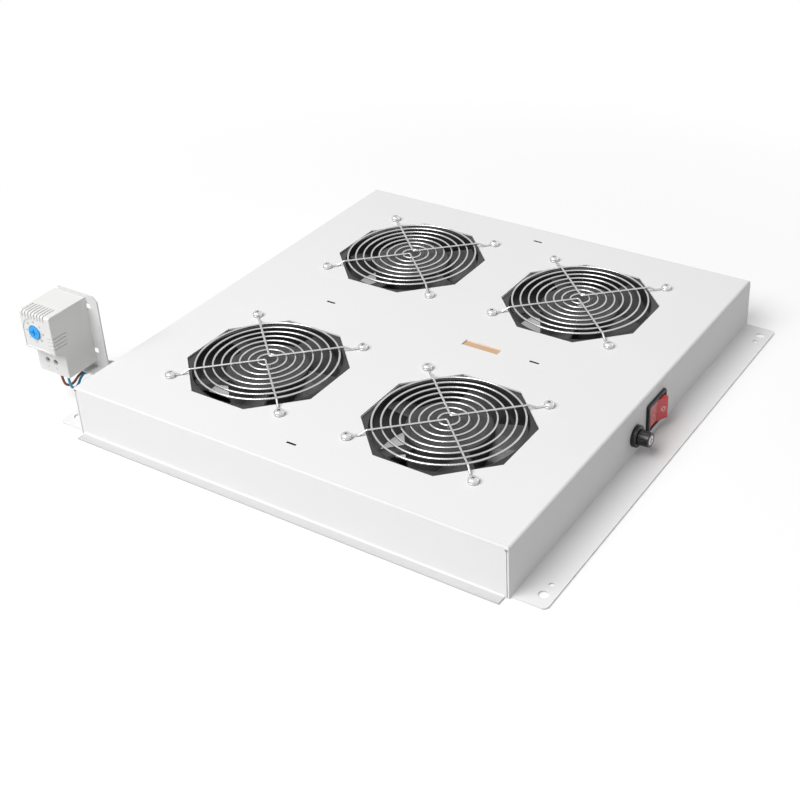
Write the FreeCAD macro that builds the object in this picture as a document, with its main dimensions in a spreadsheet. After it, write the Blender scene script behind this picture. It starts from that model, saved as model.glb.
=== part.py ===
import FreeCAD, Part
import math
import os
import Sketcher
from FreeCAD import Placement, Rotation, Vector

# Rack fan tray: a folded steel tray with four mains fans under octagonal outlets, wire finger
# guards, a lit rocker switch and a panel fuse holder in the front wall, and a small rail-mounted
# thermostat on a bracket at the side wall.
# Millimetres. +Z is up, the front wall faces -Y, and the origin lies at the middle of the tray
# on the underside of its mounting flanges.

SIZES = {
    # folded tray
    "tray_x": 400,
    "tray_y": 380,
    "tray_height": 42,
    "sheet_thickness": 1.2,
    "bend_radius": 2,
    "wide_flange": 26,
    "narrow_flange": 8,
    "flange_setback": 2,
    "flange_corner": 4,
    "seam_gap": 0.6,
    "relief_radius": 1.3,
    "relief_drop": 3.2,
    "mount_hole_end": 14,
    "mount_hole_edge": 8.5,
    "mount_hole_radius": 3.75,
    "pilot_hole_end": 25,
    "pilot_hole_radius": 2.1,
    "slot_length": 7.5,
    "slot_width": 1.3,
    "slot_from_end": 23,
    "slot_from_middle": 96,
    "window_x": 8,
    "window_y": 32.5,
    "window_middle": 49.25,
    # fans
    "fan_pitch_x": 200,
    "fan_pitch_y": 165,
    "outlet_across": 120,
    "fan_size": 119.5,
    "fan_depth": 38,
    "fan_bore_radius": 58,
    "fan_corner_radius": 5,
    "fan_hole_pitch": 105,
    "fan_hole_radius": 2.2,
    "fan_flange": 5,
    "fan_relief_radius": 61,
    "strut_width": 7,
    "strut_height": 4.5,
    "strut_middle": 18,
    "hub_radius": 32.5,
    "hub_drop": 1.5,
    "hub_wall": 2.5,
    "hub_gap": 3,
    "blade_count": 5,
    "blade_clearance": 1.5,
    "blade_thickness": 1.8,
    "blade_camber": 0.2,
    "blade_inset": 4,
    "blade_root_pitch": 42,
    "blade_tip_pitch": 27,
    "shaft_radius": 2,
    "shaft_drop": 0.8,
    "boss_height": 1.5,
    "rotor_phase": 17,
    "bearing_radius": 5,
    "bearing_length": 4,
    "bearing_clearance": 0.03,
    "bearing_tube_radius": 7,
    "core_radius": 25,
    "core_height": 14,
    # finger guards
    "ring_count": 8,
    "ring_pitch": 7.2,
    "wire_radius": 0.85,
    "guard_lift": 2.6,
    "weld_depth": 0.25,
    "eyelet_radius": 3.1,
    "foot_length": 5.5,
    "spoke_overrun": 1.8,
    "ring_sides": 32,
    "eyelet_sides": 12,
    "spoke_bend": 2.6,
    "wire_sides": 4,
    "spoke_offset": 2.6,
    # fasteners
    "screw_radius": 2,
    "shank_sides": 12,
    "screw_length": 11,
    "screw_head_radius": 4,
    "screw_head_height": 2.6,
    "head_rim_share": 0.45,
    "crown_share": 0.7,
    "nut_across": 7,
    "nut_height": 3.2,
    # terminal board
    "board_x": 44,
    "board_y": 36.5,
    "board_thickness": 1.6,
    "board_end_gap": 1,
    "stud_radius": 1.5,
    "stud_length": 8,
    "stud_spread": 18.2,
    "stud_nut_across": 5.5,
    "stud_nut_height": 2.4,
    "block_pole_pitch": 5.4,
    "block_poles": 5,
    "block_y": 17,
    "block_height": 13,
    "block_wire_radius": 1.7,
    "block_well_radius": 1.9,
    "clamp_screw_radius": 1.6,
    "earth_x": 25,
    "earth_y": 120,
    "earth_length": 12,
    "fan_terminal_middle": 34,
    "fan_terminal_width": 12,
    "fan_tab_width": 2.8,
    "fan_tab_length": 6,
    # rocker switch
    "switch_x": 16.5,
    "switch_z": 19.9,
    "bezel_x": 31,
    "bezel_z": 23.5,
    "bezel_depth": 2.5,
    "switch_body_x": 28.2,
    "switch_body_z": 21.6,
    "switch_body_depth": 22,
    "cutout_clearance": 0.25,
    "rocker_half": 11.2,
    "rocker_z": 18.4,
    "rocker_clearance": 0.4,
    "rocker_pivot_depth": 5.6,
    "rocker_waist": 5,
    "rocker_facet_angle": 14,
    "rocker_tilt": 13,
    "pivot_pin_radius": 1.5,
    "pivot_clearance": 0.06,
    "pivot_pin_length": 1.1,
    "rocker_opening_x": 26,
    "rocker_round": 0.8,
    "switch_well_depth": 12.5,
    "latch_length": 6,
    "latch_depth": 1,
    "tab_width": 6.3,
    "tab_length": 8,
    "lamp_radius": 1.8,
    "lamp_length": 4.4,
    # fuse holder
    "fuse_x": 17,
    "fuse_z": 17,
    "fuse_flange_radius": 8.6,
    "fuse_flange_depth": 4,
    "fuse_barrel_radius": 6.2,
    "fuse_barrel_length": 30,
    "fuse_bore_radius": 4.7,
    "fuse_carrier_radius": 4.4,
    "fuse_carrier_length": 25,
    "fuse_radius": 2.6,
    "fuse_length": 20,
    "fuse_cap_radius": 6,
    "fuse_cap_length": 8.5,
    "fuse_nut_across": 16,
    "fuse_nut_height": 4,
    "fuse_end_wall": 3,
    "fuse_tag_width": 4.8,
    "fuse_seat_clearance": 0.05,
    "fuse_grip": 18,
    "spigot_radius": 2.2,
    "spigot_clearance": 0.07,
    "spigot_length": 2.4,
    "spigot_gap": 0.3,
    "insert_radius": 3.7,
    "insert_depth": 1.2,
    "insert_slot_width": 1.1,
    "flute_radius": 0.7,
    "flute_count": 20,
    # thermostat and its bracket
    "stat_x": 39,
    "stat_y": 32,
    "stat_z": 58,
    "stat_bottom": 30,
    "stat_back": 150,
    "stat_gap": 26.5,
    "stat_wall": 2,
    "stat_step": 9,
    "stat_step_height": 19,
    "stat_slope_height": 6,
    "stat_split": 24,
    "dial_radius": 5.6,
    "dial_height": 41,
    "dial_side": 18.5,
    "dial_arch_radius": 12,
    "dial_depth": 3,
    "dial_clearance": 0.3,
    "dial_proud": 1.2,
    "dial_stem": 4,
    "dial_slot_width": 1.1,
    "panel_depth": 0.5,
    "stat_soft_radius": 2,
    "stat_edge_radius": 0.8,
    "stat_rib": 0.6,
    "stat_rib_depth": 0.8,
    "stat_ribs": 8,
    "slit_depth": 1.2,
    "slit_width": 1.1,
    "slit_first": 6.1,
    "slit_pitch": 3.16,
    "slit_count": 8,
    "slit_drop": 5.5,
    "slit_run": 13,
    "groove_depth": 0.6,
    "groove_width": 0.7,
    "groove_first": 29.6,
    "groove_pitch": 3.1,
    "vent_low": 17.5,
    "vent_high": 22,
    "vent_width": 1,
    "vent_lean": 2.3,
    "vent_first": 10.7,
    "vent_pitch": 3.15,
    "vent_count": 5,
    "terminal_first": 12.5,
    "terminal_pitch": 8.7,
    "terminal_height": 11,
    "driver_hole_radius": 2.4,
    "stat_screw_length": 6,
    "wire_exit_inset": 1.5,
    "wire_exit_clearance": 0.3,
    "brown_side": 13.5,
    "blue_side": 6,
    "bimetal_width": 8,
    "bimetal_thickness": 0.6,
    "foot_clearance": 0.3,
    "foot_grip": 1.5,
    "foot_height": 3.5,
    "rail_web": 35,
    "rail_middle": 59.9,
    "bracket_thickness": 1.2,
    "bracket_top": 90,
    "bracket_shelf": 24.5,
    "bracket_front": 10,
    "bracket_short": 2.5,
    "bracket_chamfer": 4,
    "bracket_tab_low": 6,
    "bracket_screw_pitch": 9,
    "bracket_screw_z": 13,
    "bracket_screw_length": 8,
    "bracket_side": 11.5,
    "bracket_tab": 18,
    "rail_window_z": 5,
    "rail_window_side": 3.8,
    "rail_window_y": 28.5,
    # wiring
    "tube_sides": 8,
    "sheath_radius": 2.75,
    "core_wire_radius": 1.05,
    "grommet_x": 128,
    "grommet_z": 14,
    "grommet_radius": 6,
    "grommet_lip": 1.4,
    "grommet_clearance": 0.1,
    "clip_wall": 1.2,
    "clip_clearance": 0.6,
    "clip_length": 7,
    "gland_y": 0,
    "gland_z": 17,
    "gland_radius": 8,
    "gland_bore": 3.6,
    "gland_across": 20,
    "gland_flange": 5,
    "gland_dome": 7,
    "gland_thread": 10,
}

doc = FreeCAD.newDocument("rack_fan_tray")
sheet = doc.addObject("Spreadsheet::Sheet", "Sizes")
for row, (alias, number) in enumerate(SIZES.items(), 1):
    sheet.set("A%d" % row, alias)
    sheet.set("B%d" % row, str(number))
    sheet.setAlias("B%d" % row, alias)
doc.recompute()


class Size:
    """A length or an angle that carries its spreadsheet formula with its value."""

    def __init__(self, text, value):
        self.text = text
        self.value = value

    def _join(self, other, sign, result):
        return Size("(%s %s %s)" % (self.text, sign, other.text), result)

    def __add__(self, other):
        other = as_size(other)
        return self._join(other, "+", self.value + other.value)

    def __radd__(self, other):
        return as_size(other) + self

    def __sub__(self, other):
        other = as_size(other)
        return self._join(other, "-", self.value - other.value)

    def __rsub__(self, other):
        return as_size(other) - self

    def __mul__(self, other):
        other = as_size(other)
        return self._join(other, "*", self.value * other.value)

    def __rmul__(self, other):
        return as_size(other) * self

    def __truediv__(self, other):
        other = as_size(other)
        return self._join(other, "/", self.value / other.value)

    def __neg__(self):
        return Size("(-1 * %s)" % self.text, -self.value)


def sine(angle):
    return Size("sin(%s)" % angle.text, math.sin(math.radians(angle.value)))


def cosine(angle):
    return Size("cos(%s)" % angle.text, math.cos(math.radians(angle.value)))


def as_size(item):
    if isinstance(item, Size):
        return item
    return Size("(%r)" % float(item), float(item))


def size(alias):
    return Size("Sizes.%s" % alias, float(sheet.get(alias)))


def bind(item, prop, amount):
    amount = as_size(amount)
    item.setExpression(prop, amount.text)


def place(item, x=0, y=0, z=0):
    for axis, amount in zip("xyz", (x, y, z)):
        bind(item, "Placement.Base." + axis, amount)


# ---------------------------------------------------------------- sketches and features


def origin_part(body, role):
    for item in body.Origin.OriginFeatures:
        if item.Role == role:
            return item


def new_sketch(body, name, role, offset=0):
    sketch = body.newObject("Sketcher::SketchObject", name)
    sketch.AttachmentSupport = [(origin_part(body, role), "")]
    sketch.MapMode = "FlatFace"
    bind(sketch, "AttachmentOffset.Base.z", offset)
    return sketch


def outline(sketch, points):
    """A closed straight-sided outline whose corners are each measured from the sketch origin."""
    points = [(as_size(x), as_size(y)) for x, y in points]
    first = sketch.GeometryCount
    count = len(points)
    corners = [Vector(x.value, y.value, 0) for x, y in points]
    for i in range(count):
        sketch.addGeometry(Part.LineSegment(corners[i], corners[(i + 1) % count]))
    for i in range(count):
        ends = (first + i, 2, first + (i + 1) % count, 1)
        sketch.addConstraint(Sketcher.Constraint("Coincident", *ends))
    for i, (x, y) in enumerate(points):
        for kind, amount in (("DistanceX", x), ("DistanceY", y)):
            rule = Sketcher.Constraint(kind, -1, 1, first + i, 1, amount.value)
            bind(sketch, "Constraints[%d]" % sketch.addConstraint(rule), amount)


def rectangle(sketch, x0, x1, y0, y1):
    outline(sketch, [(x0, y0), (x1, y0), (x1, y1), (x0, y1)])


def circle(sketch, x, y, radius):
    x, y, radius = as_size(x), as_size(y), as_size(radius)
    middle = Vector(x.value, y.value, 0)
    ring = sketch.addGeometry(Part.Circle(middle, Vector(0, 0, 1), radius.value))
    rules = (
        (Sketcher.Constraint("DistanceX", -1, 1, ring, 3, x.value), x),
        (Sketcher.Constraint("DistanceY", -1, 1, ring, 3, y.value), y),
        (Sketcher.Constraint("Radius", ring, radius.value), radius),
    )
    for rule, amount in rules:
        bind(sketch, "Constraints[%d]" % sketch.addConstraint(rule), amount)


def pin(sketch, edge, x, y):
    """Holds the end of a sketch edge that lies at x, y there, whichever way it was stored."""
    place_now = Vector(x.value, y.value, 0)
    geometry = sketch.Geometry[edge]
    ends = (geometry.StartPoint, geometry.EndPoint)
    nearest = 1 if (ends[0] - place_now).Length < (ends[1] - place_now).Length else 2
    for kind, amount in (("DistanceX", x), ("DistanceY", y)):
        rule = Sketcher.Constraint(kind, -1, 1, edge, nearest, amount.value)
        bind(sketch, "Constraints[%d]" % sketch.addConstraint(rule), amount)


def add_line(sketch, start, end):
    points = [Vector(x.value, y.value, 0) for x, y in (start, end)]
    return sketch.addGeometry(Part.LineSegment(*points))


def add_arc(sketch, start, end, through):
    """An arc through three points, stored anticlockwise as sketches need it."""
    first, middle, last = [Vector(x.value, y.value, 0) for x, y in (start, through, end)]
    if (middle - first).cross(last - first).z < 0:
        first, last = last, first
    return sketch.addGeometry(Part.Arc(first, middle, last))


def close_up(sketch, count):
    """Joins the ends of a sketch's edges into one loop, whichever way each arc was stored."""
    ends = []
    for i in range(count):
        edge = sketch.Geometry[i]
        ends.append([(i, 1, edge.StartPoint), (i, 2, edge.EndPoint)])
    for i in range(count):
        pairs = [(a, b) for a in ends[i] for b in ends[(i + 1) % count]]
        a, b = min(pairs, key=lambda pair: (pair[0][2] - pair[1][2]).Length)
        sketch.addConstraint(Sketcher.Constraint("Coincident", a[0], a[1], b[0], b[1]))


def pad(body, name, sketch, length, reverse=False):
    feature = body.newObject("PartDesign::Pad", name)
    feature.Profile = sketch
    feature.Reversed = reverse
    bind(feature, "Length", length)
    return feature


def pocket(body, name, sketch, depth=None, reverse=False):
    """Cuts against the sketch's normal, or along it when reversed; no depth cuts right through."""
    feature = body.newObject("PartDesign::Pocket", name)
    feature.Profile = sketch
    feature.Reversed = reverse
    if depth is None:
        feature.Type = "ThroughAll"
    else:
        bind(feature, "Length", depth)
    return feature


def revolve(body, name, sketch, axis_role="Z_Axis"):
    feature = body.newObject("PartDesign::Revolution", name)
    feature.Profile = sketch
    feature.ReferenceAxis = (origin_part(body, axis_role), [""])
    feature.Angle = 360
    return feature


def round_edges(body, name, radius, wanted, kind="PartDesign::Fillet"):
    """Fillets or chamfers the edges of the body so far whose middle point is wanted."""
    doc.recompute()
    base = body.Tip
    names = []
    for number, edge in enumerate(base.Shape.Edges, 1):
        if wanted(edge):
            names.append("Edge%d" % number)
    feature = body.newObject(kind, name)
    feature.Base = (base, names)
    bind(feature, "Radius" if kind.endswith("Fillet") else "Size", radius)
    return feature


def repeat_round(body, name, original, count):
    feature = body.newObject("PartDesign::PolarPattern", name)
    feature.Originals = [original]
    feature.Axis = (origin_part(body, "Z_Axis"), [""])
    feature.Angle = 360
    bind(feature, "Occurrences", count)
    body.Tip = feature
    return feature


def new_body(label):
    return doc.addObject("PartDesign::Body", label)


def edge_middle(edge):
    return edge.valueAt((edge.FirstParameter + edge.LastParameter) / 2)


def is_along(edge, axis):
    if not isinstance(edge.Curve, Part.Line):
        return False
    return abs(abs(edge.Curve.Direction.dot(axis)) - 1) < 1e-6


X_AXIS = Vector(1, 0, 0)
Y_AXIS = Vector(0, 1, 0)
Z_AXIS = Vector(0, 0, 1)
NEAR = 0.01


def near(value, target):
    return abs(value - as_size(target).value) < NEAR


# ---------------------------------------------------------------- Part primitives


def box(name, x0, x1, y0, y1, z0, z1):
    item = doc.addObject("Part::Box", name)
    for prop, low, high in (("Length", x0, x1), ("Width", y0, y1), ("Height", z0, z1)):
        bind(item, prop, as_size(high) - low)
    place(item, x0, y0, z0)
    return item


TURNS = {
    "+Z": Rotation(),
    "-Z": Rotation(X_AXIS, 180),
    "+X": Rotation(Y_AXIS, 90),
    "-X": Rotation(Y_AXIS, -90),
    "+Y": Rotation(X_AXIS, -90),
    "-Y": Rotation(X_AXIS, 90),
}


def rod(name, radius, length, x, y, z, along="+Z", sides=0):
    """A cylinder, or a prism when sides are given (the radius is then to its corners)."""
    item = doc.addObject("Part::Prism" if sides else "Part::Cylinder", name)
    if sides:
        item.Polygon = sides
        bind(item, "Circumradius", radius)
    else:
        bind(item, "Radius", radius)
    bind(item, "Height", length)
    item.Placement = Placement(Vector(), TURNS[along])
    place(item, x, y, z)
    return item


def cut(name, base, tool):
    item = doc.addObject("Part::Cut", name)
    item.Base = base
    item.Tool = tool
    return item


def fuse(name, pieces):
    item = doc.addObject("Part::MultiFuse", name)
    item.Shapes = pieces
    return item


def group(name, pieces):
    """Several loose, identical solids that share one node."""
    item = doc.addObject("Part::Compound", name)
    item.Links = pieces
    return item


def formed(name, shape):
    """A shape made with Part's own functions from sheet values."""
    item = doc.addObject("Part::Feature", name)
    item.Shape = shape
    return item


def rounded_path(points, radii=None, share=0.45):
    """Straight runs joined by tangent arcs; each arc is as large as its two runs allow."""
    points = [Vector(*point) for point in points]
    edges = []
    radii_used = []
    start = points[0]
    for i in range(1, len(points) - 1):
        before, corner, after = points[i - 1], points[i], points[i + 1]
        into = (corner - before).normalize()
        out = (after - corner).normalize()
        half_turn = into.getAngle(out) / 2
        run = min((corner - before).Length, (after - corner).Length)
        if radii:
            radius = radii[i - 1]
        else:
            radius = share * run / math.tan(half_turn)
        reach = radius * math.tan(half_turn)
        arc_start = corner - into * reach
        arc_end = corner + out * reach
        bisector = (out - into).normalize()
        middle = corner + bisector * (radius / math.cos(half_turn) - radius)
        edges.append(Part.LineSegment(start, arc_start).toShape())
        edges.append(Part.Arc(arc_start, middle, arc_end).toShape())
        radii_used.append(radius)
        start = arc_end
    edges.append(Part.LineSegment(start, points[-1]).toShape())
    return Part.Wire(edges), radii_used


def tube_along(label, points, radius, radii=None, sides=0):
    """A wire swept along a rounded path, round or with a few sides, with its volume checked."""
    path, radii_used = rounded_path(points, radii)
    start = path.Edges[0].firstVertex().Point
    heading = path.Edges[0].tangentAt(path.Edges[0].FirstParameter)
    if sides:
        across = heading.cross(Z_AXIS).normalize()
        corners = []
        for i in range(sides + 1):
            turned = Rotation(heading, 360 * (i + 0.5) / sides).multVec(across)
            corners.append(start + turned * radius)
        section = Part.makePolygon(corners)
        expected = Part.Face(section).Area * path.Length
    else:
        section = Part.Wire([Part.Circle(start, heading, radius).toShape()])
        expected = math.pi * radius * radius * path.Length
    solid = path.makePipeShell([section], True, False)
    if abs(solid.Volume - expected) > 0.01 * expected:
        raise ValueError("%s: volume %.1f, expected %.1f" % (label, solid.Volume, expected))
    if radii is None:
        print(label, "length %.0f, radii" % path.Length, [round(r, 1) for r in radii_used])
    return solid


# ---------------------------------------------------------------- shared sizes

tray_x = size("tray_x")
tray_y = size("tray_y")
top = size("tray_height")
sheet_t = size("sheet_thickness")
under_top = top - sheet_t
front_wall = -tray_y / 2
side_wall = tray_y / 2
fan_x = size("fan_pitch_x") / 2
fan_y = size("fan_pitch_y") / 2
fan_bottom = under_top - size("fan_depth")
screw_offset = size("fan_hole_pitch") / 2
QUADRANTS = ((1, 1), (1, -1), (-1, 1), (-1, -1))
OCTAGON = math.tan(math.pi / 8)
HEXAGON = math.cos(math.pi / 6)
nodes = []


def keep(item, label):
    item.Label = label
    nodes.append(item)
    return item


# ---------------------------------------------------------------- folded tray


def make_tray():
    body = new_body("tray_shell")
    radius = size("bend_radius")
    inner_radius = radius - sheet_t
    sketch = new_sketch(body, "tray_plan", "XY_Plane")
    rectangle(sketch, -tray_x / 2, tray_x / 2, -tray_y / 2, tray_y / 2)
    pad(body, "tray_block", sketch, top)
    round_edges(body, "top_bends", radius, lambda e: near(edge_middle(e).z, top))
    sketch = new_sketch(body, "tray_hollow_plan", "XY_Plane")
    inner_x = tray_x / 2 - sheet_t
    inner_y = tray_y / 2 - sheet_t
    rectangle(sketch, -inner_x, inner_x, -inner_y, inner_y)
    pocket(body, "tray_hollow", sketch, under_top, reverse=True)
    round_edges(body, "inner_bends", inner_radius, lambda e: near(edge_middle(e).z, under_top))
    make_flanges(body)
    cut_corner_seams(body)
    cut_top_plate(body)
    cut_walls(body)
    return keep(body, "tray_shell")


def make_flanges(body):
    setback = size("flange_setback")
    inner_x = tray_x / 2 - sheet_t
    inner_y = tray_y / 2 - sheet_t
    wide = tray_y / 2 + size("wide_flange")
    narrow = tray_x / 2 + size("narrow_flange")
    long_end = tray_x / 2 - setback
    short_end = tray_y / 2 - setback - sheet_t
    for side, word in ((1, "rear"), (-1, "front")):
        sketch = new_sketch(body, word + "_wide_flange_plan", "XY_Plane")
        rectangle(sketch, -long_end, long_end, side * inner_y, side * wide)
        pad(body, word + "_wide_flange", sketch, sheet_t)
    for side, word in ((1, "right"), (-1, "left")):
        sketch = new_sketch(body, word + "_narrow_flange_plan", "XY_Plane")
        rectangle(sketch, side * inner_x, side * narrow, -short_end, short_end)
        pad(body, word + "_narrow_flange", sketch, sheet_t)

    def is_flange_corner(edge):
        middle = edge_middle(edge)
        return is_along(edge, Z_AXIS) and near(abs(middle.y), wide)

    round_edges(body, "flange_corners", size("flange_corner"), is_flange_corner)

    def is_root(edge):
        middle = edge_middle(edge)
        at_wall = near(abs(middle.y), tray_y / 2) and is_along(edge, X_AXIS)
        at_end = near(abs(middle.x), tray_x / 2) and is_along(edge, Y_AXIS)
        return near(middle.z, sheet_t) and (at_wall or at_end)

    round_edges(body, "flange_bends", size("bend_radius") - sheet_t, is_root)

    def is_heel(edge):
        middle = edge_middle(edge)
        at_wall = near(abs(middle.y), inner_y) and is_along(edge, X_AXIS)
        at_end = near(abs(middle.x), inner_x) and is_along(edge, Y_AXIS)
        return near(middle.z, 0) and (at_wall or at_end)

    round_edges(body, "flange_heels", size("bend_radius") * 0.5, is_heel)


def cut_corner_seams(body):
    """Each end wall stops just short of the long wall, under a round relief hole."""
    gap = size("seam_gap")
    seam_y = tray_y / 2 - sheet_t
    seam_top = top - size("relief_drop")
    sketch = new_sketch(body, "seam_section", "YZ_Plane", -tray_x / 2 - 1)
    for side in (1, -1):
        rectangle(sketch, side * seam_y, side * (seam_y - gap), -1, seam_top)
    depth = sheet_t + 1 + size("bend_radius") * 0.2
    pocket(body, "left_seams", sketch, depth, reverse=True)
    sketch = new_sketch(body, "right_seam_section", "YZ_Plane", tray_x / 2 + 1)
    for side in (1, -1):
        rectangle(sketch, side * seam_y, side * (seam_y - gap), -1, seam_top)
    pocket(body, "right_seams", sketch, depth)
    sketch = new_sketch(body, "relief_section", "YZ_Plane", -tray_x / 2 - 1)
    for side in (1, -1):
        circle(sketch, side * (seam_y - gap / 2), seam_top, size("relief_radius"))
    pocket(body, "relief_holes", sketch, reverse=True)


def octagon(sketch, x, y, across):
    half = across / 2
    short = half * OCTAGON
    corners = ((half, short), (short, half), (-short, half), (-half, short))
    points = [(x + a, y + b) for a, b in corners] + [(x - a, y - b) for a, b in corners]
    outline(sketch, points)


def cut_top_plate(body):
    sketch = new_sketch(body, "outlet_plan", "XY_Plane", top)
    for side_x, side_y in QUADRANTS:
        octagon(sketch, side_x * fan_x, side_y * fan_y, size("outlet_across"))
    pocket(body, "outlets", sketch, top / 2)
    sketch = new_sketch(body, "top_hole_plan", "XY_Plane", top)
    for side_x, side_y in QUADRANTS:
        for corner_x, corner_y in QUADRANTS:
            x = side_x * fan_x + corner_x * screw_offset
            y = side_y * fan_y + corner_y * screw_offset
            circle(sketch, x, y, size("fan_hole_radius"))
    half_length = size("slot_length") / 2
    half_width = size("slot_width") / 2
    far_x = tray_x / 2 - size("slot_from_end")
    far_y = size("slot_from_middle")
    for x, y in ((far_x, 0), (-far_x, 0), (0, far_y), (0, -far_y)):
        x, y = as_size(x), as_size(y)
        rectangle(sketch, x - half_width, x + half_width, y - half_length, y + half_length)
    half_x = size("window_x") / 2
    low_y = -size("window_middle") - size("window_y") / 2
    rectangle(sketch, -half_x, half_x, low_y, low_y + size("window_y"))
    pocket(body, "top_holes", sketch, top / 2)
    sketch = new_sketch(body, "flange_hole_plan", "XY_Plane", sheet_t)
    y = tray_y / 2 + size("wide_flange") - size("mount_hole_edge")
    for side_x, side_y in QUADRANTS:
        for kind in ("mount", "pilot"):
            x = tray_x / 2 - size(kind + "_hole_end")
            circle(sketch, side_x * x, side_y * y, size(kind + "_hole_radius"))
    pocket(body, "flange_holes", sketch)


def cut_walls(body):
    clearance = size("cutout_clearance")
    sketch = new_sketch(body, "front_wall_section", "XZ_Plane", tray_y / 2 + 1)
    half_x = size("switch_body_x") / 2 + clearance
    half_z = size("switch_body_z") / 2 + clearance
    x, z = size("switch_x"), size("switch_z")
    rectangle(sketch, x - half_x, x + half_x, z - half_z, z + half_z)
    circle(sketch, -size("fuse_x"), size("fuse_z"), size("fuse_barrel_radius") + clearance)
    pocket(body, "front_wall_holes", sketch, sheet_t + 2)
    sketch = new_sketch(body, "side_wall_section", "XZ_Plane", -tray_y / 2 - 1)
    circle(sketch, -size("grommet_x"), size("grommet_z"), size("grommet_radius"))
    for x, z in bracket_screw_places():
        circle(sketch, x, z, size("screw_radius") + clearance)
    pocket(body, "side_wall_holes", sketch, sheet_t + 2, reverse=True)
    sketch = new_sketch(body, "end_wall_section", "YZ_Plane", tray_x / 2 + 1)
    hole_across = (size("gland_radius") + clearance) * 2
    octagon(sketch, size("gland_y"), size("gland_z"), hole_across)
    pocket(body, "end_wall_hole", sketch, sheet_t + 2)


# ---------------------------------------------------------------- fans


def make_fan_frame(number, x, y):
    """Die-cast square frame: two flanges, a round duct, four struts and the motor's seat."""
    body = new_body("fan_frame_%d" % number)
    half = size("fan_size") / 2
    depth = size("fan_depth")
    flange = size("fan_flange")
    bore = size("fan_bore_radius")
    prefix = "frame%d_" % number
    sketch = new_sketch(body, prefix + "plan", "XY_Plane")
    rectangle(sketch, -half, half, -half, half)
    pad(body, prefix + "block", sketch, depth)
    round_edges(body, prefix + "corners", size("fan_corner_radius"), lambda e: is_along(e, Z_AXIS))
    sketch = new_sketch(body, prefix + "duct_plan", "XY_Plane")
    circle(sketch, 0, 0, bore)
    for corner_x, corner_y in QUADRANTS:
        circle(sketch, corner_x * screw_offset, corner_y * screw_offset, size("fan_hole_radius"))
    pocket(body, prefix + "duct", sketch, reverse=True)
    sketch = new_sketch(body, prefix + "relief_plan", "XY_Plane", flange)
    rectangle(sketch, -half - 5, half + 5, -half - 5, half + 5)
    circle(sketch, 0, 0, size("fan_relief_radius"))
    pocket(body, prefix + "corner_relief", sketch, depth - flange * 2, reverse=True)
    sketch = new_sketch(body, prefix + "strut_plan", "XY_Plane")
    middle = size("strut_middle")
    low = middle - size("strut_width") / 2
    rectangle(sketch, 0, bore + 0.5, low, low + size("strut_width"))
    strut = pad(body, prefix + "strut", sketch, size("strut_height"))
    repeat_round(body, prefix + "struts", strut, 4)
    sketch = new_sketch(body, prefix + "seat_plan", "XY_Plane")
    circle(sketch, 0, 0, size("hub_radius") - 1)
    pad(body, prefix + "motor_seat", sketch, size("strut_height"))
    tube_top = depth - size("hub_drop") - size("hub_wall") - 2
    sketch = new_sketch(body, prefix + "tube_plan", "XY_Plane")
    circle(sketch, 0, 0, size("bearing_tube_radius"))
    pad(body, prefix + "bearing_tube", sketch, tube_top)
    sketch = new_sketch(body, prefix + "tube_bore_plan", "XY_Plane", size("strut_height") / 2)
    circle(sketch, 0, 0, size("bearing_radius"))
    pocket(body, prefix + "tube_bore", sketch, depth, reverse=True)
    place(body, x, y, fan_bottom)
    return keep(body, "fan_frame_%d" % number)


def make_fan_stator(number, x, y):
    """Laminated core with its windings above and below it, pressed on the bearing tube."""
    body = new_body("fan_stator_%d" % number)
    bore = size("bearing_tube_radius")
    core = size("core_radius")
    winding = core - 4
    base = size("strut_height")
    stack = size("core_height")
    sketch = new_sketch(body, "stator%d_section" % number, "XZ_Plane")
    coil = 3.5
    levels = (base, base + coil, base + coil + stack, base + coil * 2 + stack)
    points = [(bore, levels[0]), (winding, levels[0]), (winding, levels[1]), (core, levels[1])]
    points += [(core, levels[2]), (winding, levels[2]), (winding, levels[3]), (bore, levels[3])]
    outline(sketch, points)
    revolve(body, "stator%d_core" % number, sketch)
    place(body, x, y, fan_bottom)
    return keep(body, "fan_stator_%d" % number)


def blade_outline(body, name, at_radius, pitch, height, middle_z):
    """The blade's curved section, drawn in the upright plane that stands at this radius."""
    sketch = new_sketch(body, name, "YZ_Plane", at_radius)
    thickness = size("blade_thickness")
    rise = cosine(pitch)
    run = sine(pitch)
    half_chord = height / 2 / run
    bulge = half_chord * size("blade_camber")

    def point(along, above):
        return (rise * along - run * above, middle_z + run * along + rise * above)

    shares = (-1, -0.5, 0, 0.5, 1)
    under = [point(half_chord * t, bulge * (1 - t * t)) for t in shares]
    over = [point(half_chord * t, bulge * (1 - t * t) + thickness) for t in shares[::-1]]
    outline(sketch, under + over)
    return sketch


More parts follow.
